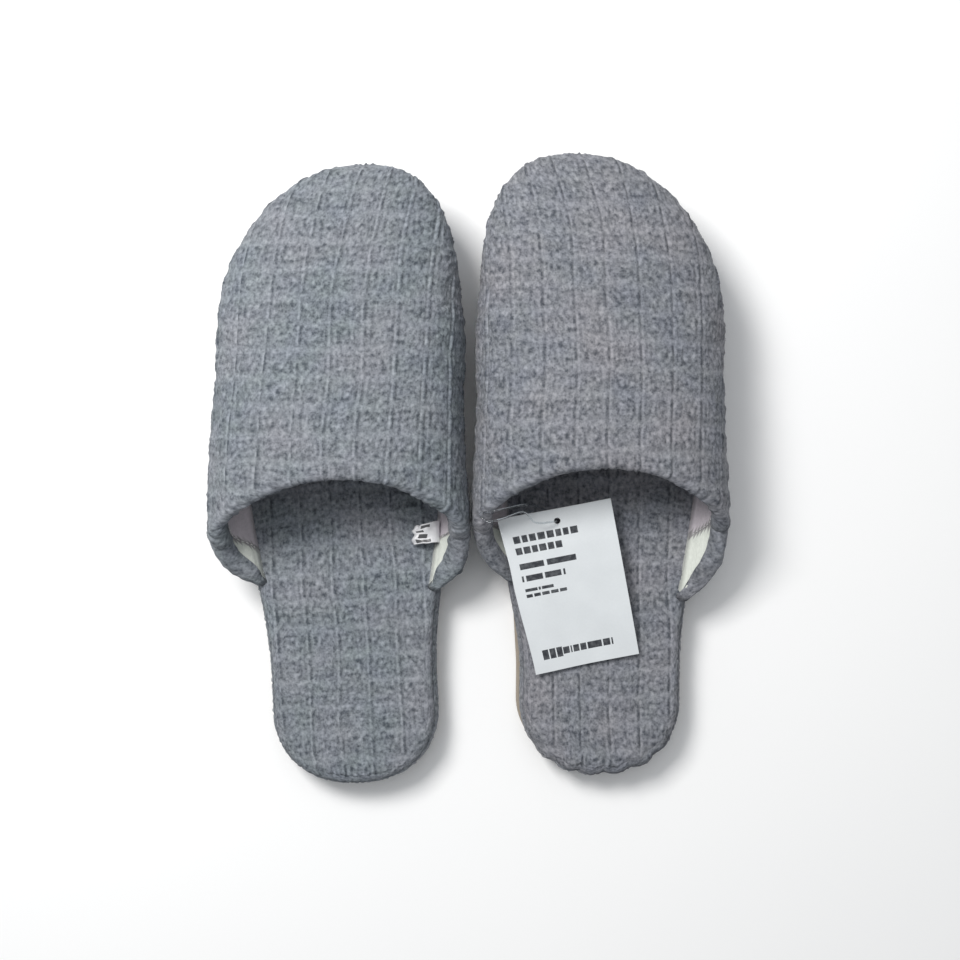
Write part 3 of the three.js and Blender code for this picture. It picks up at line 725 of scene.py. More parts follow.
def bar_mask(look, weave, bars):
    """1 inside any of the bars, each (left, right, low, high) on the piece's own coordinates."""
    x = look.add("SeparateXYZ", weave, output=0)
    y = look.add("SeparateXYZ", weave, output=1)
    total = None
    for left, right, low, high in bars:
        across = look.maths("MULTIPLY", look.maths("GREATER_THAN", x, left),
                            look.maths("LESS_THAN", x, right))
        along = look.maths("MULTIPLY", look.maths("GREATER_THAN", y, low), look.maths("LESS_THAN", y, high))
        bar = look.maths("MULTIPLY", across, along)
        total = bar if total is None else look.maths("MAXIMUM", total, bar)
    return total


# Rows of print on the tag, each (left end, top, height, the widths of its marks, the space between)
PRINT_ROWS = (
    (-20.4, -3.6, 3.2, (3.0, 2.4, 2.8, 3.2, 3.0, 2.4, 2.4, 3.2), 0.85),
    (-20.6, -8.8, 3.1, (2.8, 3.0, 2.5, 3.1, 2.7, 2.8), 0.75),
    (-20.6, -16.0, 2.7, (11.0, 13.2), 1.4),
    (-20.7, -21.6, 2.7, (0.9, 7.6, 7.4, 0.9), 1.0),
    (-20.3, -27.6, 1.4, (5.6, 1.0, 5.4), 0.5),
    (-20.3, -30.2, 1.5, (2.8, 3.0, 3.4, 3.4, 3.2), 0.7),
    (-19.9, -56.5, 4.6, (2.9, 2.9, 2.9), 0.6),
    (-9.6, -57.0, 3.2, (3.2, 0.7, 2.9, 2.9, 6.6, 3.2, 0.7), 0.65),
)


def print_bars():
    """Plain bars in the places of the tag's print, with no lettering."""
    bars = []
    for left, top, height, widths, space in PRINT_ROWS:
        x = left
        for width in widths:
            bars.append((x, x + width, top - height, top))
            x += width + space
    return bars


def card_look():
    look = Look("tag_card", roughness=0.42)
    look.surface.inputs["Specular IOR Level"].default_value = 0.4
    weave = look.weave()
    fibre = look.noise(weave, 0.9, 4, 0.6)
    cloud = look.noise(weave, 0.06, 2)
    tone = look.maths("ADD", look.spread(fibre, 0.3, 0.7, -0.1, 0.1), look.spread(cloud, 0.3, 0.7, 0.3, 0.7))
    white = look.blend(tone, srgb(210, 214, 217), srgb(225, 229, 232))
    ink = bar_mask(look, weave, print_bars())
    patchy = look.spread(look.noise(weave, 0.5, 2, 0.5), 0.3, 0.6, 0.88, 0.98)
    look.colour(look.blend(look.maths("MULTIPLY", ink, patchy), white, srgb(38, 41, 48)))
    look.bump(fibre, 0.03, 0.5)
    return look.material


LABEL_MARKS = ((-4.4, -2.8, 5.0, 12.6), (-2.0, -0.2, 7.0, 11.6), (0.8, 2.2, 8.6, 12.8), (3.0, 4.3, 5.5, 10.0))


def satin_look():
    look = Look("label_satin", roughness=0.34, Sheen_Weight=0.2)
    weave = look.weave()
    ribs = look.noise(look.moved(weave, scale=(0.4, 7, 1)), 1.2, 2)
    ink = look.maths("MULTIPLY", bar_mask(look, weave, LABEL_MARKS), 0.9)
    look.colour(look.blend(ink, look.blend(ribs, srgb(222, 222, 226), srgb(246, 246, 248)), srgb(30, 31, 35)))
    look.bump(ribs, 0.05, 0.5)
    return look.material


def nylon_look():
    look = Look("clear_nylon", roughness=0.1, IOR=1.4)
    look.surface.inputs["Transmission Weight"].default_value = 1.0
    haze = look.noise(look.place(), 0.4, 2)
    look.colour(look.blend(haze, srgb(214, 220, 224), srgb(240, 243, 246)))
    look.put(look.surface.inputs["Roughness"], look.spread(haze, 0.3, 0.7, 0.05, 0.14))
    return look.material


def thread_look(name, dark, light):
    look = Look(name, roughness=0.7, Sheen_Weight=0.2)
    twist = look.noise(look.moved(look.place(), scale=(3, 0.8, 3)), 2.0, 2)
    look.colour(look.blend(twist, srgb(*dark), srgb(*light)))
    look.bump(twist, 0.08)
    return look.material


def floor_look():
    look = Look("pale_floor", roughness=0.6)
    look.surface.inputs["Specular IOR Level"].default_value = 0.1
    cloud = look.noise(look.place(), 0.004, 2)
    look.colour(look.blend(cloud, srgb(246, 246, 247), srgb(250, 250, 250)))
    return look.material


LEFT_SHADE = {"green": (151, 159, 163), "blue": (153, 159, 168), "mauve": (158, 159, 166)}
RIGHT_SHADE = {"green": (154, 157, 162), "blue": (152, 155, 164), "mauve": (160, 158, 163)}
WAFFLE = {
    "left": waffle_look("waffle_cloth_left", LEFT_SHADE),
    "right": waffle_look("waffle_cloth_right", RIGHT_SHADE),
}
LINING_CLOTH = lining_look()
FOAM = foam_look()
BOARD = board_look()
OUTSOLE = outsole_look()
CARD = card_look()
SATIN = satin_look()
NYLON = nylon_look()
GREY_THREAD = thread_look("grey_thread", (112, 116, 122), (150, 153, 158))
WHITE_THREAD = thread_look("white_thread", (196, 196, 196), (232, 232, 230))


# ---- Camera, light and floor ----

VIEW_CENTRE = (0.0035, -0.0033)  # the floor point under the camera
CAMERA_HEIGHT = 0.718
CAMERA_SPAN = 0.450  # the width of floor that the camera sees


def set_camera():
    data = bpy.data.cameras.new("camera")
    data.sensor_width = 36
    data.lens = 36 * CAMERA_HEIGHT / CAMERA_SPAN
    data.clip_start = 0.01
    data.clip_end = 20
    camera = bpy.data.objects.new("camera", data)
    camera.location = (*VIEW_CENTRE, CAMERA_HEIGHT)
    bpy.context.scene.collection.objects.link(camera)
    bpy.context.scene.camera = camera


def set_light(name, place, size, power, colour):
    data = bpy.data.lights.new(name, "AREA")
    data.size = size
    data.energy = power
    data.color = colour
    light = bpy.data.objects.new(name, data)
    light.location = place
    light.rotation_euler = (-Vector(place)).to_track_quat("-Z", "Y").to_euler()
    bpy.context.scene.collection.objects.link(light)


def set_studio():
    scene = bpy.context.scene
    scene.view_settings.view_transform = "Standard"
    scene.view_settings.look = "None"
    world = bpy.data.worlds.new("studio")
    world.use_nodes = True
    background = world.node_tree.nodes["Background"]
    background.inputs["Color"].default_value = (0.95, 0.98, 1.0, 1)
    background.inputs["Strength"].default_value = 0.34
    scene.world = world
    set_light("key", (-0.40, 0.42, 0.86), 0.34, 8.9, (1.0, 0.99, 0.97))
    set_light("top", (-0.1, 0.6, 1.8), 1.4, 8, (0.98, 0.99, 1.0))
    floor_mesh = bpy.data.meshes.new("floor")
    reach = 4.0
    floor_mesh.from_pydata([(-reach, -reach, 0), (reach, -reach, 0), (reach, reach, 0), (-reach, reach, 0)],
                           [], [(0, 1, 2, 3)])
    floor_mesh.materials.append(floor_look())
    floor = bpy.data.objects.new("floor", floor_mesh)
    scene.collection.objects.link(floor)


set_camera()
set_studio()

# ---- The vamp's outer cloth, with its folded back edge and its hem ----

VAMP_ROWS, VAMP_COLUMNS = 259, 271
FOLD_ROWS, HEM_ROWS = 13, 10
LEAN = {"left": -0.045, "right": 0.02}


def fold_points(foot, across, skin):
    """The back edge's fold and hem, from the hem's end round to the outer face.

    The fold is fuller over the crown and its hem is widest there; on the wings it is tight,
    and the lining comes right up to it.
    """
    crown = ease((1 - np.abs(across) - 0.14) / 0.3)
    depth = lerp(LINING[1] + 0.2, 2 * FOLD_RADIUS, crown)
    outer = foot.vamp(across, 0.0, skin)
    inner = foot.vamp(across, 0.0, depth - skin)
    _, _, back = rim_frame(foot.vamp, across, depth / 2)
    run = np.cumsum(np.r_[0, np.linalg.norm(np.diff(outer, axis=0), axis=1)])
    gather = 0.5 + 0.5 * lattice(run / 11 + 20, run * 0, foot.seed + 12)
    full = foot.wear["gather"] * gather * np.abs(np.sin(math.pi * run / 7.4 + 2 * gather))
    full = full * ease((1 - np.abs(across)) / 0.25)
    rows = []
    hem = lerp(0.5, HEM_WIDTH, crown) / (SOLE_LENGTH + TOE_BULGE - THROAT_Y)
    for k in range(HEM_ROWS):
        rows.append(lerp(inner, foot.vamp(across, hem, depth - skin), 1 - k / HEM_ROWS))
    half = (outer - inner) / 2
    radius = np.linalg.norm(half, axis=-1, keepdims=True)
    centre = (outer + inner) / 2 + back * full[:, None]
    for k in range(FOLD_ROWS):
        turn = math.pi * (1 - k / (FOLD_ROWS - 1))
        rows.append(centre + math.cos(turn) * half + math.sin(turn) * radius * back)
    return np.array(rows)


def cloth_coordinates(points, first_outer):
    """Lengths across and along the cloth at each point of the vamp's grid."""
    rows, columns = points.shape[:2]
    middle = columns // 2
    step_across = np.diff(points, axis=1)
    wall = np.abs(ACROSS) > 1 - WALL_SHARE
    outline = np.gradient(points[:, np.argmax(~wall)], axis=0)
    facing_toe = np.abs(outline[:, 0:1]) ** 2 / np.maximum((outline[:, :2] ** 2).sum(-1, keepdims=True), 1e-9)
    facing_toe[:first_outer] = 0
    length = np.hypot(step_across[..., 0], step_across[..., 2])
    on_wall = (wall[1:] | wall[:-1])[None, :]
    full = np.linalg.norm(step_across, axis=-1)
    across_step = np.where(on_wall, full * (1 - facing_toe), length)
    a = np.concatenate([np.zeros((rows, 1)), np.cumsum(across_step, 1)], 1)
    a -= a[:, middle:middle + 1]
    step_along = np.diff(points, axis=0)
    along = np.hypot(step_along[..., 1], step_along[..., 2])
    along[:first_outer] = np.linalg.norm(step_along[:first_outer], axis=-1)
    b = np.concatenate([np.zeros((1, columns)), np.cumsum(along, 0)], 0)
    b += points[first_outer, :, 1] - b[first_outer]
    down = np.cumsum(np.where(on_wall, full * facing_toe, 0), 1)
    down = np.concatenate([np.zeros((rows, 1)), down], 1)
    left_top, right_top = np.argmax(~wall), columns - 1 - np.argmax(~wall[::-1])
    b_left = b[:, left_top:left_top + 1] + down[:, left_top:left_top + 1] - down
    b_right = b[:, right_top:right_top + 1] + down - down[:, right_top:right_top + 1]
    b = np.where((ACROSS < 0) & wall, b_left, np.where((ACROSS > 0) & wall, b_right, b))
    a[:first_outer] = a[first_outer]
    return a, b


def column_places(columns):
    """Places across the vamp, at equal steps from side to side."""
    return np.linspace(-1, 1, columns)


ACROSS = column_places(VAMP_COLUMNS)


def vamp_moves(foot, depth, pressure, slack, room):
    """The cloth's own fullness over the vamp, from a simulation with its foot sewn down."""
    across = np.linspace(-1, 1, 45)
    forward = np.linspace(0, 0.985, 39)
    grid = foot.vamp(across[None, :], forward[:, None], depth)
    held = np.zeros(grid.shape[:2])
    held[:, [0, -1]] = 1
    held[:, [1, -2]] = 0.6
    held[-1] = 1
    held[-2] = 0.7
    held[0] = 0.55
    jitter = lattice(across[None, :] * 9 + 5, forward[:, None] * 7 + 5, foot.seed) - 0.5
    grid = grid + 0.35 * jitter[..., None] * grid_normals(grid)
    return simulate(grid, held, pressure, slack, room)


def vamp_cover(foot):
    forward = np.linspace(0, 1, VAMP_ROWS)
    outer = foot.vamp(ACROSS[None, :], forward[:, None], 0.0)
    moves = spread(foot.fullness, forward / 0.985, (ACROSS + 1) / 2)
    outer = outer + moves * ease((1 - forward) / 0.06)[:, None, None]
    fold = fold_points(foot, ACROSS, 0.0)
    fold = fold + moves[:1] * np.linspace(0.4, 1, len(fold))[:, None, None]
    points = np.concatenate([fold, outer[1:]])
    first_outer = len(fold)
    a, b = cloth_coordinates(points, first_outer)
    a, b = settle(a - 2.3, b, foot.seed, LEAN[foot.side])
    relief = waffle_relief(a, b, foot.seed + 3)
    fade = ease((1 - np.linspace(0, 1, VAMP_ROWS)) / 0.03)
    fade = np.concatenate([np.ones(first_outer - 1), fade])
    points = points - grid_normals(points) * (relief * fade[:, None])[..., None]
    maker = Maker(foot)
    face = maker.grid(points, weave=np.stack([a, b], -1), relief=relief)
    rows = np.linspace(0, 1, 88)
    across = np.linspace(-1, 1, 91)
    inner = foot.vamp(across[None, :], rows[:, None], CLOTH)
    toe_taper = ease((1 - rows) / 0.06)[:, None, None]
    inner = inner + spread(foot.fullness, rows / 0.985, (across + 1) / 2) * toe_taper
    inner_fold = fold_points(foot, across, CLOTH)
    back = maker.grid(np.concatenate([inner_fold, inner[1:]]), relief=0.0)
    maker.zip(face[0], back[0])
    maker.zip(face[:, 0], back[:, 0])
    maker.zip(face[:, -1], back[:, -1])
    piece = maker.make(f"{foot.side}_vamp_cloth", WAFFLE[foot.side])
    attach(piece, foot.slipper)
    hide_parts(f"{foot.side}_vamp_shell", f"{foot.side}_topline_roll")


def vamp_layer(foot, name, depths, rows, columns, material, moves=None, colour=None):
    """A closed layer of the vamp between two depths, from its back edge to the toe."""
    forward = np.linspace(0, 1, rows)
    across = np.linspace(-1, 1, columns)
    maker = Maker(foot)
    faces = []
    for depth in depths:
        points = foot.vamp(across[None, :], forward[:, None], depth)
        if moves is not None:
            fade = ease((1 - forward) / 0.06)[:, None, None]
            points = points + spread(moves, forward / 0.985, (across + 1) / 2) * fade
        weave = np.stack(np.broadcast_arrays(points[..., 0] * 1.3, points[..., 1]), -1)
        # The mask for a layer's painted shade, if it has one.
        panel = 0.0 if colour is None else colour(points)
        faces.append(maker.grid(points, weave=weave, panel=panel))
    maker.zip(faces[0][0], faces[1][0])
    maker.zip(faces[0][:, 0], faces[1][:, 0])
    maker.zip(faces[0][:, -1], faces[1][:, -1])
    return maker.make(name, material)


def vamp_foam(foot):
    piece = vamp_layer(foot, f"{foot.side}_vamp_foam", PADDING, 70, 81, FOAM)
    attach(piece, foot.slipper)
    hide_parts(f"{foot.side}_vamp_padding")


SEAM_FOOT_Y = 109.0
SEAM_SLOPE = 0.55


def seam_y(z):
    """Where the lining's side seam runs, at a height."""
    return SEAM_FOOT_Y + (z - FOOTBED_Z) * SEAM_SLOPE


def lining(foot):
    """The lining: two panels that meet in a sloping seam on each side wall; its material paints the forward
    one darker as shade under the vamp.
    """
    # 1 behind the seam and 0 ahead of it: the mask that the lining's material uses for its painted shade.
    def panel(points):
        ahead = points[..., 1] - seam_y(points[..., 2])
        return ease(0.5 - ahead / 1.2)

    piece = vamp_layer(foot, f"{foot.side}_lining_cloth", LINING, 150, 181, LINING_CLOTH,
                       moves=foot.wrinkles, colour=panel)
    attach(piece, foot.slipper)
    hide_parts(f"{foot.side}_vamp_lining")


# ---- The sole: grids across the sole, whose ends close at the heel and at the toe ----


def sole_rows(inset, rows, dense_to=None):
    """Stations along the sole at an inset, close together at its rounded ends."""
    inset = np.asarray(inset, float)
    heel, straight, toe = rows
    turn = np.linspace(0, math.pi / 2, heel, endpoint=False)[:, None]
    start = SOLE_LENGTH - TOE_ROUND
    back = HEEL_ROUND - (HEEL_ROUND - inset) * np.cos(turn)
    stations = np.linspace(0, 1, straight, endpoint=False)[:, None]
    if dense_to:
        share, reach = dense_to
        stations = np.interp(stations, [0, share, 1], [0, reach, 1])
    middle = np.broadcast_to(HEEL_ROUND + (start - HEEL_ROUND) * stations, (straight, len(inset)))
    turn = np.linspace(0, math.pi / 2, toe)[:, None]
    front = start + (TOE_ROUND - inset) * np.sin(turn)
    return np.concatenate([back, middle, front])


def sole_grid(section, rows, dense_to=None, flange=0.0):
    """Points of a sole piece: section lists (share across, inset, z) round it, from below."""
    share, inset, z = (np.array(column, float) for column in zip(*section))
    y = sole_rows(inset, rows, dense_to)
    beside = ease(y / HEEL_ROUND) * ease((FLEX_Y - y) / HEEL_ROUND) * flange
    x = centre_line(y) + share * (sole_half(y, inset) + beside)
    return np.stack([x, y, np.broadcast_to(z, y.shape)], -1)


def across_section(inset, z, count, crown=0.0):
    """A flat or crowned surface from side to side, as a section's points."""
    shares = np.linspace(-1, 1, count)
    return [(s, inset, z + crown * (1 - s * s)) for s in shares]


def mirrored(points):
    return [(-s, inset, z) for s, inset, z in reversed(points)]


def heel_ruffle(foot, points, a):
    """The right heel's cloth is gathered, so its edge stands out in small lobes."""
    if foot.side != "right":
        return points
    near = ease((24 - points[..., 1]) / 20) * ease((points[..., 2] - 5) / 6)
    lobe = 1.5 * np.abs(np.sin(math.pi * (a + 3) / 12.5)) - 0.5
    move = near * lobe
    out = unit(np.stack([points[..., 0], points[..., 1] - HEEL_ROUND], -1))
    moved = points.copy()
    moved[..., :2] += out * move[..., None]
    return moved


COVER_ROWS = (52, 252, 70)


def cover_section(count):
    """The footbed cloth's visible face: from its turned-in edge over the top to the other."""
    turn = np.linspace(0, math.pi / 2, 7)
    edge = [(1, COVER_INSET + COVER_ROUND * (1 - math.cos(t)), FOOTBED_Z - COVER_ROUND * (1 - math.sin(t)))
            for t in turn]
    tucked = [(1, COVER_INSET + 1.6, FOOTBED_Z - COVER_ROUND - 0.9),
              (1, COVER_INSET + 0.4, FOOTBED_Z - COVER_ROUND - 0.7)]
    right = (tucked + edge)[::-1]
    top = across_section(COVER_INSET + COVER_ROUND, FOOTBED_Z, count)[1:-1]
    return mirrored(right) + top + right


def cover_moves(foot):
    """How the footbed's cloth settles on the foam, from a simulation held at its edge."""
    shares = np.linspace(-1, 1, 27)
    section = [(s, COVER_INSET + COVER_ROUND, FOOTBED_Z) for s in shares]
    grid = sole_grid(section, (9, 30, 12))
    grid[..., 2] += 0.3 * (lattice(grid[..., 0] / 9 + 30, grid[..., 1] / 9, foot.seed + 8) - 0.5)
    held = np.zeros(grid.shape[:2])
    held[:, [0, -1]] = 1
    held[:3] = 1
    held[-3:] = 1
    held[(grid[..., 1] > THROAT_Y + 20)] = 0.8
    inner = grid[3:-3]
    moves = np.zeros_like(grid)
    moves[3:-3] = simulate(inner, held[3:-3], -0.25, 0.012, (-0.35, 0.4))
    return moves


def footbed_cover(foot):
    top_count = 126
    section = cover_section(top_count)
    points = sole_grid(section, COVER_ROWS, dense_to=(0.86, 0.73))
    inset = np.array([s[1] for s in section])
    crown = 0.9 * (1 - np.clip(np.array([s[0] for s in section]), -1, 1) ** 4)
    points[..., 2] += crown[None, :] * ease(points[..., 1] / 12) * ease((SOLE_LENGTH - points[..., 1]) / 20)
    under_vamp = 1.7 * ease((points[..., 1] - 96) / 14) * (inset < COVER_INSET + COVER_ROUND - 0.01)
    points[..., 0] -= np.sign(points[..., 0] - centre_line(points[..., 1])) * under_vamp
    run = np.abs(np.array([s[0] for s in section])) >= 1
    profile = [(s[1], s[2]) for s in section]
    edge_length = np.cumsum(np.r_[0, np.linalg.norm(np.diff(profile, axis=0), axis=1)])
    right_edge = np.argmax(run & (np.array([s[0] for s in section]) > 0))
    past = np.where(run, np.where(np.arange(len(section)) < len(section) // 2,
                                  edge_length[len(section) - 1 - right_edge] - edge_length,
                                  edge_length - edge_length[right_edge]), 0)
    in_toe = points[..., 1] > SOLE_LENGTH - TOE_ROUND
    past_toe = np.where(in_toe, points[..., 1] - SOLE_LENGTH + TOE_ROUND, 0)
    past_ends = np.where(points[..., 1] < HEEL_ROUND, points[..., 1] - HEEL_ROUND, past_toe)
    facing = unit(np.stack([points[..., 0], past_ends], -1))
    a = points[..., 0] + facing[..., 0] * past
    b = points[..., 1] + facing[..., 1] * past
    lobes = np.arctan2(points[..., 0], HEEL_ROUND - points[..., 1]) * HEEL_ROUND
    points = heel_ruffle(foot, points, lobes)
    a, b = settle((a + 5.8) * 1.03, b, foot.seed + 20, -LEAN[foot.side] * 0.4)
    relief = waffle_relief(a, b, foot.seed + 21, rib=1.15)
    rows = len(points)
    fade = ease(np.arange(rows) / 4) * ease(np.arange(rows)[::-1] / 4)
    top_shares = (np.array([s[0] for s in section]) + 1) / 2
    down = np.linspace(0, 1, rows)
    moves = spread(foot.footbed_moves, down, top_shares)
    moves[..., :2] = 0
    moves *= ease((THROAT_Y + 25 - points[..., 1]) / 25)[..., None]
    points = points + moves - grid_normals(points) * (relief * fade[:, None])[..., None]
    maker = Maker(foot)
    face = maker.grid(points, weave=np.stack([a, b], -1), relief=relief)

    def backing(inset, z):
        if inset > COVER_INSET + COVER_ROUND - 0.01:
            return COVER_THICKNESS
        return 0.9 * ease((z - 17) / 3)

    low = [(s, i + 0.9, z - 0.1 - backing(i, z)) for s, i, z in cover_section(20)]
    back = maker.grid(sole_grid(low, (14, 60, 20)), relief=0.0)
    maker.zip(face[:, 0], back[:, 0])
    maker.zip(face[:, -1], back[:, -1])
    piece = maker.make(f"{foot.side}_footbed_cloth", WAFFLE[foot.side])
    foot.bend(piece)
    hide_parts(f"{foot.side}_footbed_cover_fore", f"{foot.side}_footbed_cover_heel")


def loop_section(top, low, corner, count):
    """A closed section of a sole layer: (inset, z) of its top and low faces, with its corners."""
    top_inset, top_z = top
    low_inset, low_z = low
    side = [(1, inset, z) for inset, z in corner]
    across_top = across_section(top_inset, top_z, count)
    across_low = [(-s, i, z) for s, i, z in across_section(low_inset, low_z, count)]
    return across_top + side + across_low + [(-s, i, z) for s, i, z in reversed(side)]


def sole_layer(foot, name, section, rows, material, flange=0.0, shape=None):
    points = sole_grid(section, rows, flange=flange)
    if shape:
        points = shape(points)
    maker = Maker(foot)
    maker.grid(points, closed=True)
    piece = maker.make(name, material)
    foot.bend(piece)
    return piece


def footbed_foam(foot):
    def crowned(points):
        share = (points[..., 0] - centre_line(points[..., 1])) / 45
        high = points[..., 2] > (FOAM_LOW + FOAM_TOP) / 2
        points[..., 2] += np.where(high, 0.7 * (1 - np.clip(share, -1, 1) ** 4), 0)
        return points

    corner = [
        (FOAM_INSET + 1.2, FOAM_TOP), (FOAM_INSET + 0.3, FOAM_TOP - 0.6), (FOAM_INSET, FOAM_TOP - 2.0),
        (FOAM_INSET - 0.5, (FOAM_LOW + FOAM_TOP) / 2),
        (FOAM_INSET, FOAM_LOW + 1.2), (FOAM_INSET + 0.8, FOAM_LOW),
    ]
    section = loop_section((FOAM_INSET + 3, FOAM_TOP), (FOAM_INSET + 2, FOAM_LOW), corner, 20)
    piece = sole_layer(foot, f"{foot.side}_footbed_foam", section, (14, 60, 20), FOAM, shape=crowned)
    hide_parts(f"{foot.side}_cushion_fore", f"{foot.side}_cushion_heel")


def insole_board(foot):
    corner = [(FOAM_INSET, BOARD_TOP - 0.2), (FOAM_INSET, BOARD_LOW + 0.2)]
    section = loop_section((FOAM_INSET + 0.3, BOARD_TOP), (FOAM_INSET + 0.3, BOARD_LOW), corner, 16)
    piece = sole_layer(foot, f"{foot.side}_sole_board", section, (14, 60, 20), BOARD)
    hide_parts(f"{foot.side}_insole_board_fore", f"{foot.side}_insole_board_heel")


OUTSOLE_FLANGE = {"left": (1.5, 0.9), "right": (1.2, 2.6)}  # beside the heel: outer side, inner side


def outsole(foot):
    outer, inner = OUTSOLE_FLANGE[foot.side]
    base = LUG_HEIGHT - 0.2

    def flanged(points):
        off = points[..., 0] - centre_line(points[..., 1])
        beside = ease(points[..., 1] / HEEL_ROUND) * ease((FLEX_Y - points[..., 1]) / HEEL_ROUND)
        near = ease((np.abs(off) - 22) / 12)
        points[..., 0] += np.where(off > 0, inner, -outer) * beside * near
        return points

    corner = [(1.0, OUTSOLE_TOP), (0.7, OUTSOLE_TOP - 0.25), (0.5, OUTSOLE_TOP - 0.8), (0.6, 2.2), (0.9, 1.4),
              (1.6, base + 0.1), (2.2, base)]
    section = loop_section((1.6, OUTSOLE_TOP), (3.0, base), corner, 26)
    piece = sole_layer(foot, f"{foot.side}_outsole", section, (22, 90, 34), OUTSOLE, shape=flanged)
    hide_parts(f"{foot.side}_outsole_fore", f"{foot.side}_outsole_heel")


# ---- The side band: a strip of cloth round the sole ----


def sole_outline(inset, count):
    """The sole's outline at an inset, at equal steps, with its outward directions."""
    y = sole_rows([inset], (60, 90, 90))[:, 0]
    half = sole_half(y, inset)
    one_side = np.stack([centre_line(y) + half, y], -1)[:-1]
    other_side = np.stack([centre_line(y) - half, y], -1)[::-1][:-1]
    ring = np.concatenate([one_side, other_side])
    closed = np.vstack([ring, ring[:1]])
    run = np.r_[0, np.cumsum(np.linalg.norm(np.diff(closed, axis=0), axis=1))]
    at = np.linspace(0, run[-1], count, endpoint=False)
    points = np.stack([np.interp(at, run, closed[:, k]) for k in (0, 1)], -1)
    tangent = unit(np.roll(points, -1, 0) - np.roll(points, 1, 0))
    return points, np.stack([tangent[:, 1], -tangent[:, 0]], -1), at, run[-1]


def side_band(foot):
    count = 762
    points, out, at, whole = sole_outline(0.4, count)
    heights = np.linspace(0, 1, 21)
    z = lerp(BAND_LOW, BAND_TOP, heights)
    swell = 1.1 * np.sin(math.pi * heights) ** 0.8 - 0.35 * heights
    pucker = 0.25 * (lattice(at / 5.0, at * 0, foot.seed + 30) - 0.5)
    reach = swell[:, None] + pucker[None, :] * (np.abs(heights - 0.5) * 2)[:, None] ** 2
    face = np.concatenate([
        points[None] + out[None] * reach[..., None],
        np.broadcast_to(z[:, None, None], (len(z), count, 1)),
    ], -1)
    ribs = round(whole / RIB_PITCH)
    a = np.broadcast_to(at[None] * ribs * RIB_PITCH / whole, reach.shape)
    b = np.broadcast_to(z[:, None], reach.shape)
    wander = 0.8 * (lattice(b / 8, a / 14, foot.seed + 31) - 0.5)
    relief = waffle_relief(a, b + 3 + wander, foot.seed + 32, rib=0.8)
    loose = np.sin(math.pi * np.clip(heights, 0.02, 0.98))[:, None] ** 0.4
    face[..., :2] += out[None] * (relief * loose)[..., None]
    lobes = np.arctan2(face[..., 0], HEEL_ROUND - face[..., 1]) * HEEL_ROUND
    face = heel_ruffle(foot, face, lobes)
    maker = Maker(foot)
    front = maker.grid(face, weave=np.stack([a, b], -1), closed=True, relief=relief)
    spare = slice(None, None, 6)
    behind = np.concatenate([
        points[None, spare] + out[None, spare] * (swell[::4, None, None] - CLOTH - 0.3),
        np.broadcast_to(
            lerp(BAND_LOW + 0.1, BAND_TOP - 0.1, heights[::4])[:, None, None], (6, count // 6, 1)),
    ], -1)
    back = maker.grid(behind, closed=True, relief=0.0)
    for row in (0, -1):
        maker.zip(np.r_[front[row], front[row, :1]], np.r_[back[row], back[row, :1]])
    piece = maker.make(f"{foot.side}_side_band_cloth", WAFFLE[foot.side])
    foot.bend(piece)
    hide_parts(f"{foot.side}_side_band_fore", f"{foot.side}_side_band_heel")


# ---- Geometry Nodes: stitches along a path, and lugs under a sole ----


def new_tree(name, sizes):
    tree = bpy.data.node_groups.new(name, "GeometryNodeTree")
    tree.interface.new_socket("Geometry", in_out="INPUT", socket_type="NodeSocketGeometry")
    sockets = {}
    for label, value in sizes.items():
        kind = "NodeSocketInt" if isinstance(value, int) else "NodeSocketFloat"
        socket = tree.interface.new_socket(label, in_out="INPUT", socket_type=kind)
        socket.default_value = value
        sockets[label] = socket.identifier
    tree.interface.new_socket("Geometry", in_out="OUTPUT", socket_type="NodeSocketGeometry")
    return tree, sockets


def wire(tree, kind, links=None, **settings):
    node = tree.nodes.new(kind)
    for name, value in settings.items():
        setattr(node, name, value)
    for label, value in (links or {}).items():
        socket = node.inputs[label]
        if isinstance(value, bpy.types.NodeSocket):
            tree.links.new(value, socket)
        else:
            socket.default_value = value
    return node


def random_value(tree, low, high, seed):
    node = wire(tree, "FunctionNodeRandomValue", data_type="FLOAT")
    node.inputs[2].default_value = low
    node.inputs[3].default_value = high
    tree.links.new(seed, node.inputs["Seed"])
    return node.outputs[1]


def combine(tree, x, y, z):
    return wire(tree, "ShaderNodeCombineXYZ", {"X": x, "Y": y, "Z": z}).outputs[0]


def close_tree(tree, instances, material):
    real = wire(tree, "GeometryNodeRealizeInstances", {"Geometry": instances})
    painted = wire(tree, "GeometryNodeSetMaterial", {"Geometry": real.outputs[0], "Material": material})
    end = tree.nodes.new("NodeGroupOutput")
    tree.links.new(painted.outputs[0], end.inputs[0])


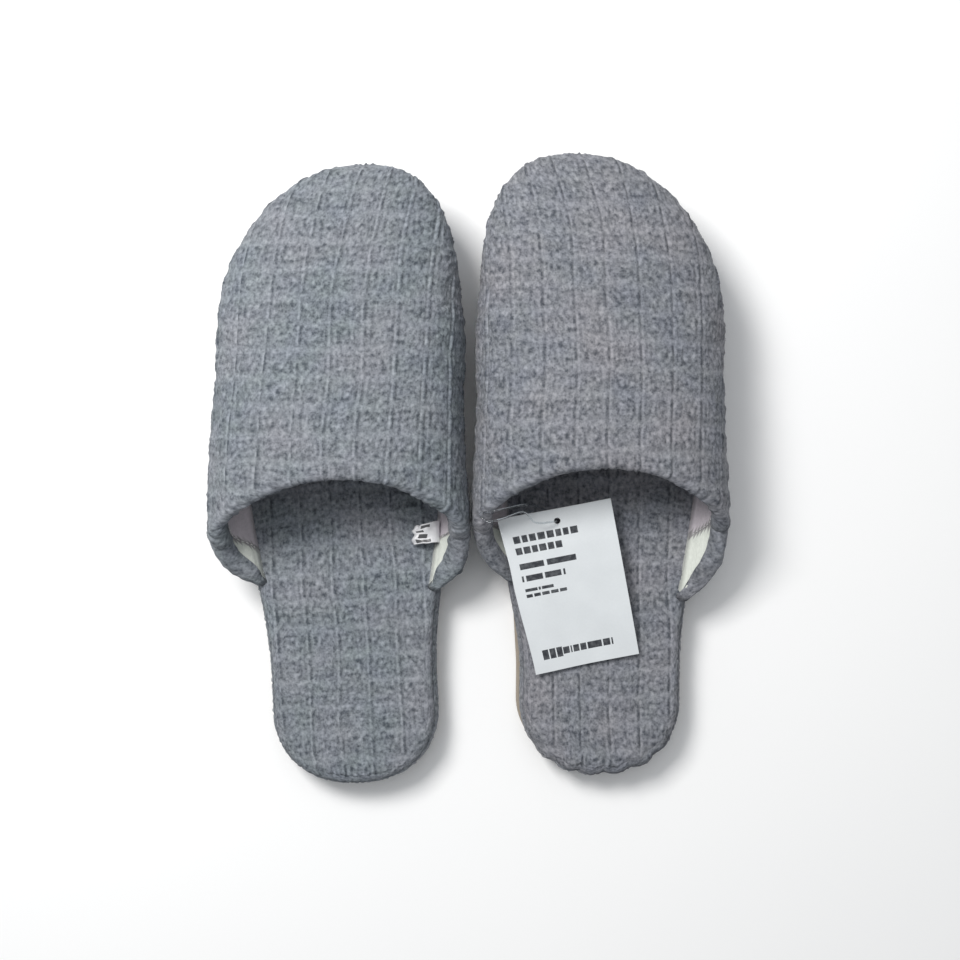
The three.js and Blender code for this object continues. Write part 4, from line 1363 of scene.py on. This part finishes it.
def stitch_tree(material):
    """Stitches along a path: rounded lengths of thread, each a little out of line."""
    tree, sockets = new_tree(f"stitches_{material.name}",
                             {"Pitch": 3.2 * MM, "Length": 2.3 * MM, "Thread": 0.32 * MM, "Seed": 7})
    start = tree.nodes.new("NodeGroupInput")
    curve = wire(tree, "GeometryNodeMeshToCurve", {"Mesh": start.outputs["Geometry"]})
    spaced = wire(tree, "GeometryNodeResampleCurve", {
        "Curve": curve.outputs[0], "Length": start.outputs["Pitch"]}, mode="LENGTH")
    ball = wire(tree, "GeometryNodeMeshUVSphere", {"Segments": 6, "Rings": 5, "Radius": 0.5})
    tangent = tree.nodes.new("GeometryNodeInputTangent")
    aligned = wire(tree, "FunctionNodeAlignRotationToVector", {"Vector": tangent.outputs[0]}, axis="X")
    wobble = combine(tree, 0.0, random_value(tree, -0.12, 0.12, start.outputs["Seed"]), 0.0)
    tilted = wire(tree, "FunctionNodeRotateRotation", {
        "Rotation": aligned.outputs[0], "Rotate By": wobble}, rotation_space="LOCAL")
    size = combine(tree, start.outputs["Length"], start.outputs["Thread"], start.outputs["Thread"])
    placed = wire(tree, "GeometryNodeInstanceOnPoints", {
        "Points": spaced.outputs[0], "Instance": ball.outputs[0],
        "Rotation": tilted.outputs[0], "Scale": size})
    close_tree(tree, placed.outputs[0], material)
    return tree, sockets


def lug_tree(material):
    """Lugs in staggered rows, kept where the plate under them is."""
    tree, sockets = new_tree("sole_lugs", {"Pitch": 7.0 * MM, "Width": 4.6 * MM, "Height": LUG_HEIGHT * MM,
                                           "Rows": 44, "Columns": 18, "Seed": 3})
    start = tree.nodes.new("NodeGroupInput")
    pitch = start.outputs["Pitch"]

    def times(a, b):
        node = wire(tree, "ShaderNodeMath", operation="MULTIPLY")
        for socket, value in zip(node.inputs, (a, b)):
            if isinstance(value, bpy.types.NodeSocket):
                tree.links.new(value, socket)
            else:
                socket.default_value = value
        return node.outputs[0]

    grid = wire(tree, "GeometryNodeMeshGrid", {"Size X": times(pitch, start.outputs["Columns"]),
                "Size Y": times(pitch, start.outputs["Rows"]), "Vertices X": start.outputs["Columns"],
                "Vertices Y": start.outputs["Rows"]})
    index = tree.nodes.new("GeometryNodeInputIndex")
    odd = wire(tree, "ShaderNodeMath", operation="MODULO")
    tree.links.new(index.outputs[0], odd.inputs[0])
    odd.inputs[1].default_value = 2
    stagger = combine(tree, times(odd.outputs[0], times(pitch, 0.5)), 0.0, 0.0)
    moved = wire(tree, "GeometryNodeSetPosition", {"Geometry": grid.outputs[0], "Offset": stagger})
    ray = wire(tree, "GeometryNodeRaycast", {"Target Geometry": start.outputs["Geometry"],
               "Ray Direction": (0, 0, 1), "Ray Length": 0.1})
    missed = wire(tree, "FunctionNodeBooleanMath", operation="NOT")
    tree.links.new(ray.outputs["Is Hit"], missed.inputs[0])
    kept = wire(tree, "GeometryNodeDeleteGeometry", {
        "Geometry": moved.outputs[0], "Selection": missed.outputs[0]})
    lug = wire(tree, "GeometryNodeMeshCone", {"Vertices": 8, "Radius Top": times(start.outputs["Width"], 0.5),
               "Radius Bottom": times(start.outputs["Width"], 0.4), "Depth": start.outputs["Height"]})
    turn = combine(tree, 0.0, 0.0, random_value(tree, -0.1, 0.1, start.outputs["Seed"]))
    placed = wire(tree, "GeometryNodeInstanceOnPoints", {
        "Points": kept.outputs[0], "Instance": lug.outputs[0]})
    turned = wire(tree, "FunctionNodeEulerToRotation", {"Euler": turn})
    tree.links.new(turned.outputs[0], placed.inputs["Rotation"])
    close_tree(tree, placed.outputs[0], material)
    return tree, sockets


def grown(name, mesh, tree, sockets, sizes):
    """The plain mesh that a Geometry Nodes tree makes from a base mesh."""
    base = bpy.data.objects.new(name + "_base", mesh)
    bpy.context.scene.collection.objects.link(base)
    modifier = base.modifiers.new("grow", "NODES")
    modifier.node_group = tree
    for label, value in sizes.items():
        modifier[sockets[label]] = value
    ready = base.evaluated_get(bpy.context.evaluated_depsgraph_get())
    made = bpy.data.meshes.new_from_object(ready)
    made.name = name
    bpy.data.objects.remove(base)
    bpy.data.meshes.remove(mesh)
    made.shade_smooth()
    piece = bpy.data.objects.new(name, made)
    bpy.context.scene.collection.objects.link(piece)
    return piece


def path_mesh(name, points):
    mesh = bpy.data.meshes.new(name)
    mesh.from_pydata(points.tolist(), [(k, k + 1) for k in range(len(points) - 1)], [])
    return mesh


GREY_STITCH = stitch_tree(GREY_THREAD)
WHITE_STITCH = stitch_tree(WHITE_THREAD)
LUGS = lug_tree(OUTSOLE)


def hem_stitches(foot):
    """The row that holds the hem down on the lining."""
    across = np.linspace(-0.6, 0.6, 120)
    forward = 0.62 * HEM_WIDTH / (SOLE_LENGTH + TOE_BULGE - THROAT_Y)
    points = foot.place(foot.vamp(across, forward, 2 * FOLD_RADIUS + 0.05))
    piece = grown(f"{foot.side}_hem_stitches", path_mesh("hem_path", points), *GREY_STITCH,
                  {"Pitch": 3.4 * MM, "Length": 2.5 * MM, "Thread": 0.5 * MM, "Seed": foot.seed})
    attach(piece, foot.slipper)


def seam_stitches(foot):
    """The lining's side seams, one on each wall."""
    for label, sign in (("outer", -1), ("inner", 1)):
        from_edge = np.linspace(0.012, 0.24, 30)
        across = sign * (1 - from_edge)
        forward = np.zeros(30)
        for _ in range(6):
            points = foot.vamp(across, forward, LINING[1] + 0.15)
            forward = np.clip(forward + (seam_y(points[:, 2]) - points[:, 1]) / 230, 0.0, 0.3)
        points = foot.vamp(across, forward, LINING[1] + 0.15)
        keep = points[:, 1] > foot.vamp(across, 0.0, LINING[1])[:, 1] + 1.5
        if keep.sum() < 3:
            continue
        path = path_mesh("seam_path", foot.place(points[keep]))
        piece = grown(f"{foot.side}_{label}_seam_stitches", path, *WHITE_STITCH,
                      {"Pitch": 2.4 * MM, "Length": 1.9 * MM, "Thread": 0.45 * MM, "Seed": foot.seed + sign})
        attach(piece, foot.slipper)


def outsole_lugs(foot):
    """Lugs all over the outsole's underside, in from its edge."""
    section = across_section(6.0, LUG_HEIGHT, 14)
    maker = Maker(None)
    maker.grid(sole_grid(section, (14, 40, 20)))
    plate = maker.make("lug_plate", OUTSOLE).data
    mesh = plate.copy()
    bpy.data.objects.remove(bpy.data.objects["lug_plate"])
    shift = Vector((0, SOLE_LENGTH / 2 * MM, 0))
    mesh.transform(Matrix.Translation(-shift))
    piece = grown(f"{foot.side}_outsole_lugs", mesh, *LUGS, {"Seed": foot.seed})
    co = np.array([v.co for v in piece.data.vertices], float) / MM + np.array([0, SOLE_LENGTH / 2, 0])
    placed = foot.place(co)
    piece.data.vertices.foreach_set("co", placed.astype(np.float32).ravel())
    piece.data.update()
    tidy(piece.data, 1e-6)
    foot.bend(piece)


# ---- Hang tag, loop and care label ----

TAG_WIDTH, TAG_LENGTH, TAG_THICKNESS = 50.0, 72.5, 0.45
TAG_HOLE_DROP, TAG_HOLE_RADIUS = 5.5, 1.4
TAG_TURN = math.radians(11)
TAG_REST_HEIGHT = 2.6
LOOP_RADIUS = 0.38
LOOP_CLEARANCE = 1.6
LOOP_ROLL = 2.6  # the radius of the edge that the loop goes round
TAG_PULL = 1.8  # how far the loop holds the tag up
LABEL_REACH = 13.2
LABEL_WIDTH = 10.0
LABEL_GAPE = 0.9  # between the folded label's two layers, to each side
LABEL_DROOP = math.radians(4)


def tag_frame(foot):
    """The tag's hole, pulled up on its loop, and its directions across, up and off its face."""
    hole = foot.local(JOINTS["tag_lift"]["pos_m"])
    fall = (hole[2] - FOOTBED_Z - TAG_REST_HEIGHT) / (TAG_LENGTH - TAG_HOLE_DROP)
    slope = math.asin(fall)
    across = np.array([math.cos(TAG_TURN), -math.sin(TAG_TURN), 0])
    up = np.array([math.sin(TAG_TURN) * math.cos(slope),
                   math.cos(TAG_TURN) * math.cos(slope), math.sin(slope)])
    return hole + TAG_PULL * up, across, up, np.cross(across, up)


def hang_tag(foot):
    """A card with a punched hole, curled a little from being handled."""
    hole, across, up, off = tag_frame(foot)
    x = np.arange(-TAG_WIDTH / 2, TAG_WIDTH / 2 + 0.5)
    low = TAG_HOLE_DROP - TAG_LENGTH
    y = np.r_[low, np.arange(math.ceil(low), math.floor(TAG_HOLE_DROP) + 1), TAG_HOLE_DROP]
    gx, gy = np.meshgrid(x, y)
    index = np.arange(gx.size).reshape(gx.shape)
    inside = (np.abs(gx[:-1, :-1] + 0.5) < 3) & (np.abs(gy[:-1, :-1] + 0.5) < 3)
    around = [index[:-1, :-1], index[:-1, 1:], index[1:, 1:], index[1:, :-1]]
    quads = np.stack(around, -1)[~inside].reshape(-1, 4)
    flat = np.stack([gx.ravel(), gy.ravel()], -1)
    ring = [k for k in range(len(flat)) if max(abs(flat[k, 0]), abs(flat[k, 1])) == 3]
    ring.sort(key=lambda k: math.atan2(flat[k, 1], flat[k, 0]))
    angles = [math.atan2(flat[k, 1], flat[k, 0]) for k in ring]
    faces = quads.tolist()
    count = len(flat)
    circles = []
    for radius in (2.3, TAG_HOLE_RADIUS):
        circles.append(np.arange(count, count + len(ring)))
        flat = np.vstack([flat, [(radius * math.cos(t), radius * math.sin(t)) for t in angles]])
        count += len(ring)
    for one, other in ((np.array(ring), circles[0]), (circles[0], circles[1])):
        for k in range(len(ring)):
            n = (k + 1) % len(ring)
            faces.append([int(one[k]), int(one[n]), int(other[n]), int(other[k])])
    down = (TAG_HOLE_DROP - flat[:, 1]) / TAG_LENGTH
    curl = 1.1 * np.sin(math.pi * down) * ease(down * 4) + 0.5 * (flat[:, 0] / 25) ** 2 * down
    used = sorted({k for face in faces for k in face})
    renumber = {k: n for n, k in enumerate(used)}
    local = hole + flat[:, :1] * across + flat[:, 1:] * up + curl[:, None] * off
    mesh = bpy.data.meshes.new("hang_tag_card")
    mesh.from_pydata(foot.place(local[used]).tolist(), [], [[renumber[k] for k in face] for face in faces])
    corners = np.zeros(len(mesh.loops), int)
    mesh.loops.foreach_get("vertex_index", corners)
    weave = flat[used][corners] * np.array([-1.0 if foot.mirrored else 1.0, 1.0])
    layer = mesh.uv_layers.new(name="weave")
    layer.data.foreach_set("uv", (weave / 100).astype(np.float32).ravel())
    tidy(mesh, 1e-6)
    if sum(face.normal.z for face in mesh.polygons) < 0:
        mesh.flip_normals()
    mesh.materials.append(CARD)
    piece = bpy.data.objects.new("hang_tag_card", mesh)
    bpy.context.scene.collection.objects.link(piece)
    solid = piece.modifiers.new("thickness", "SOLIDIFY")
    solid.thickness = TAG_THICKNESS * MM
    solid.offset = 0
    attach(piece, "hang_tag")
    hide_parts("hang_tag")


def blended(points, steps, k, gap, at):
    """The point between two others, at a step of a smooth line."""
    span = steps[k + gap] - steps[k]
    return (steps[k + gap] - at) / span * points[k] + (at - steps[k]) / span * points[k + 1]


def smooth_ring(points, count):
    """A smooth closed line through points, by centripetal steps."""
    points = np.asarray(points, float)
    number = len(points)
    line = []
    for k in range(number):
        p = [points[(k + i) % number] for i in (-1, 0, 1, 2)]
        t = np.cumsum([0] + [np.linalg.norm(p[i + 1] - p[i]) ** 0.5 for i in range(3)])
        for s in np.linspace(t[1], t[2], 24, endpoint=False):
            a = [blended(p, t, i, 1, s) for i in range(3)]
            b = [blended(a, t, i, 2, s) for i in range(2)]
            line.append((t[2] - s) / (t[2] - t[1]) * b[0] + (s - t[1]) / (t[2] - t[1]) * b[1])
    line = np.array(line)
    closed = np.vstack([line, line[:1]])
    run = np.r_[0, np.cumsum(np.linalg.norm(np.diff(closed, axis=0), axis=1))]
    at = np.linspace(0, run[-1], count, endpoint=False)
    return np.stack([np.interp(at, run, closed[:, k]) for k in range(3)], -1)


def ring_tube(line, radius, sides):
    """A tube round a closed line, whose frame is carried along without twist."""
    tangent = unit(np.roll(line, -1, 0) - np.roll(line, 1, 0))
    normal = np.cross(tangent[0], [0, 0, 1.0])
    rings = []
    for point, direction in zip(line, tangent):
        normal = unit(normal - (normal @ direction) * direction)
        other = np.cross(direction, normal)
        turn = np.linspace(0, 2 * math.pi, sides, endpoint=False)[:, None]
        rings.append(point + radius * (np.cos(turn) * normal + np.sin(turn) * other))
    return np.array(rings)


def tag_loop(foot):
    """The nylon loop: through the folded edge, round its back and through the tag's hole."""
    eye = foot.local(JOINTS["tag_loop_swing"]["pos_m"])
    hole, across, up, _ = tag_frame(foot)
    trial = np.linspace(0.02, 0.98, 400)
    edge, along, back = rim_frame(vamp, trial, 2.1)
    near = np.argmin(np.linalg.norm(edge + back * 3.3 - eye, axis=1))
    along, back = along[near], back[near]
    through = LOOP_ROLL / math.sin(math.acos(abs(float(along @ across)))) + LOOP_CLEARANCE
    behind = LOOP_ROLL + LOOP_CLEARANCE
    rise = np.array([0, 0, 1.0])

    def at_eye(a, rear, z):
        return eye + across * a + back * rear + rise * z

    def at_hole(a, down, z):
        return hole + across * a - up * down + rise * z

    line = smooth_ring([
        at_eye(0, 0, 0), at_eye(through, 0, 0), at_eye(through * 0.7, behind, 0),
        at_eye(-through * 0.6, behind * 1.1, 0),
        at_eye(-through * 2.6, behind * 0.8, -3), at_hole(9, -1, 6.5), at_hole(1.8, 0, 3.4), at_hole(0, 0, 0),
        at_hole(1, -3, -3.4), at_hole(7, -8, -2.4), at_eye(-through * 3, 0, -6), at_eye(-through, 0, 0),
    ], 150)
    tube = ring_tube(line, LOOP_RADIUS, 10)
    tube = np.concatenate([tube, tube[:1]])
    start, end = tube[-2], tube[0]
    shift = np.argmin([np.linalg.norm(np.roll(end, k, 0) - start, axis=1).sum() for k in range(10)])
    tube[-1] = np.roll(end, shift, 0)
    maker = Maker(foot)
    maker.grid(tube, closed=True)
    piece = maker.make("nylon_loop", NYLON)
    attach(piece, "tag_loop")
    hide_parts("tag_loop")


def care_label(foot):
    """A satin tab folded back on itself, sewn to the lining by its two ends."""
    hinge = foot.local(JOINTS["care_label_swing"]["pos_m"])
    turn = np.linspace(0, 1, 57)
    v = np.linspace(-0.5, 0.5, 25)
    path = []
    for t in turn:
        out = LABEL_REACH * (1 - abs(2 * t - 1))
        nose = math.sin(math.pi * t)
        layer = 1 if t < 0.5 else -1
        lift = LABEL_GAPE * layer * math.sqrt(max(1 - (out / LABEL_REACH) ** 4, 0)) * ease(out / 2)
        path.append((out, lift + 2.2 * math.sin(math.pi * out / LABEL_REACH) - 0.4 * out / LABEL_REACH, nose))
    path = np.array(path)
    grid = np.zeros((len(turn), len(v), 3))
    crumple = 3.0 * (lattice(turn[:, None] * 9 + 3, v[None, :] * 4.4 + 9, 5) - 0.3) * path[:, 2:3] ** 0.5
    out = path[:, 0:1] * (1 - 0.1 * v[None, :] - 0.16 * lattice(v[None, :] * 4 + 3, v[None, :] * 0, 15))
    lift = path[:, 1:2] + crumple + 1.2 * np.abs(v[None, :]) * path[:, 0:1] / LABEL_REACH
    grid[..., 0] = hinge[0] - 0.2 - out * math.cos(LABEL_DROOP)
    pinch = 1 - 0.22 * np.sin(math.pi * path[:, 0:1] / LABEL_REACH * 0.55)
    grid[..., 1] = hinge[1] + v[None, :] * LABEL_WIDTH * pinch - 0.16 * out + 0.5 * crumple
    grid[..., 2] = hinge[2] + lift - out * math.sin(LABEL_DROOP)
    run = np.r_[0, np.cumsum(np.linalg.norm(np.diff(path[:, :2], axis=0), axis=1))]
    weave = np.stack(np.broadcast_arrays(v[None, :] * LABEL_WIDTH, run[:, None]), -1)
    maker = Maker(foot)
    normal = grid_normals(grid)
    front = maker.grid(grid, weave=weave)
    back = maker.grid(grid + normal * 0.22, weave=weave)
    ends = ((front[0], back[0]), (front[-1], back[-1]))
    sides = ((front[:, 0], back[:, 0]), (front[:, -1], back[:, -1]))
    for one, other in (*ends, *sides):
        maker.zip(one, other)
    piece = maker.make("care_label_satin", SATIN, weld=0.001)
    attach(piece, "care_label")
    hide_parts("care_label")


# ---- Making the pair ----


# The push on each cloth, its slack, and the room that it has along its outward normal
FULLNESS = (0.4, 0.012, (0.0, 1.5))
WRINKLES = (-0.25, 0.035, (-1.6, 0.1))


def make_slipper(foot):
    foot.fullness = vamp_moves(foot, 0.0, *FULLNESS)
    foot.wrinkles = vamp_moves(foot, LINING[1], *WRINKLES)
    foot.footbed_moves = cover_moves(foot)
    vamp_foam(foot)
    lining(foot)
    vamp_cover(foot)
    footbed_foam(foot)
    insole_board(foot)
    outsole(foot)
    footbed_cover(foot)
    side_band(foot)
    hem_stitches(foot)
    seam_stitches(foot)
    outsole_lugs(foot)


LEFT = Foot("left")
RIGHT = Foot("right")
for foot in (LEFT, RIGHT):
    make_slipper(foot)
care_label(LEFT)
tag_loop(RIGHT)
hang_tag(RIGHT)
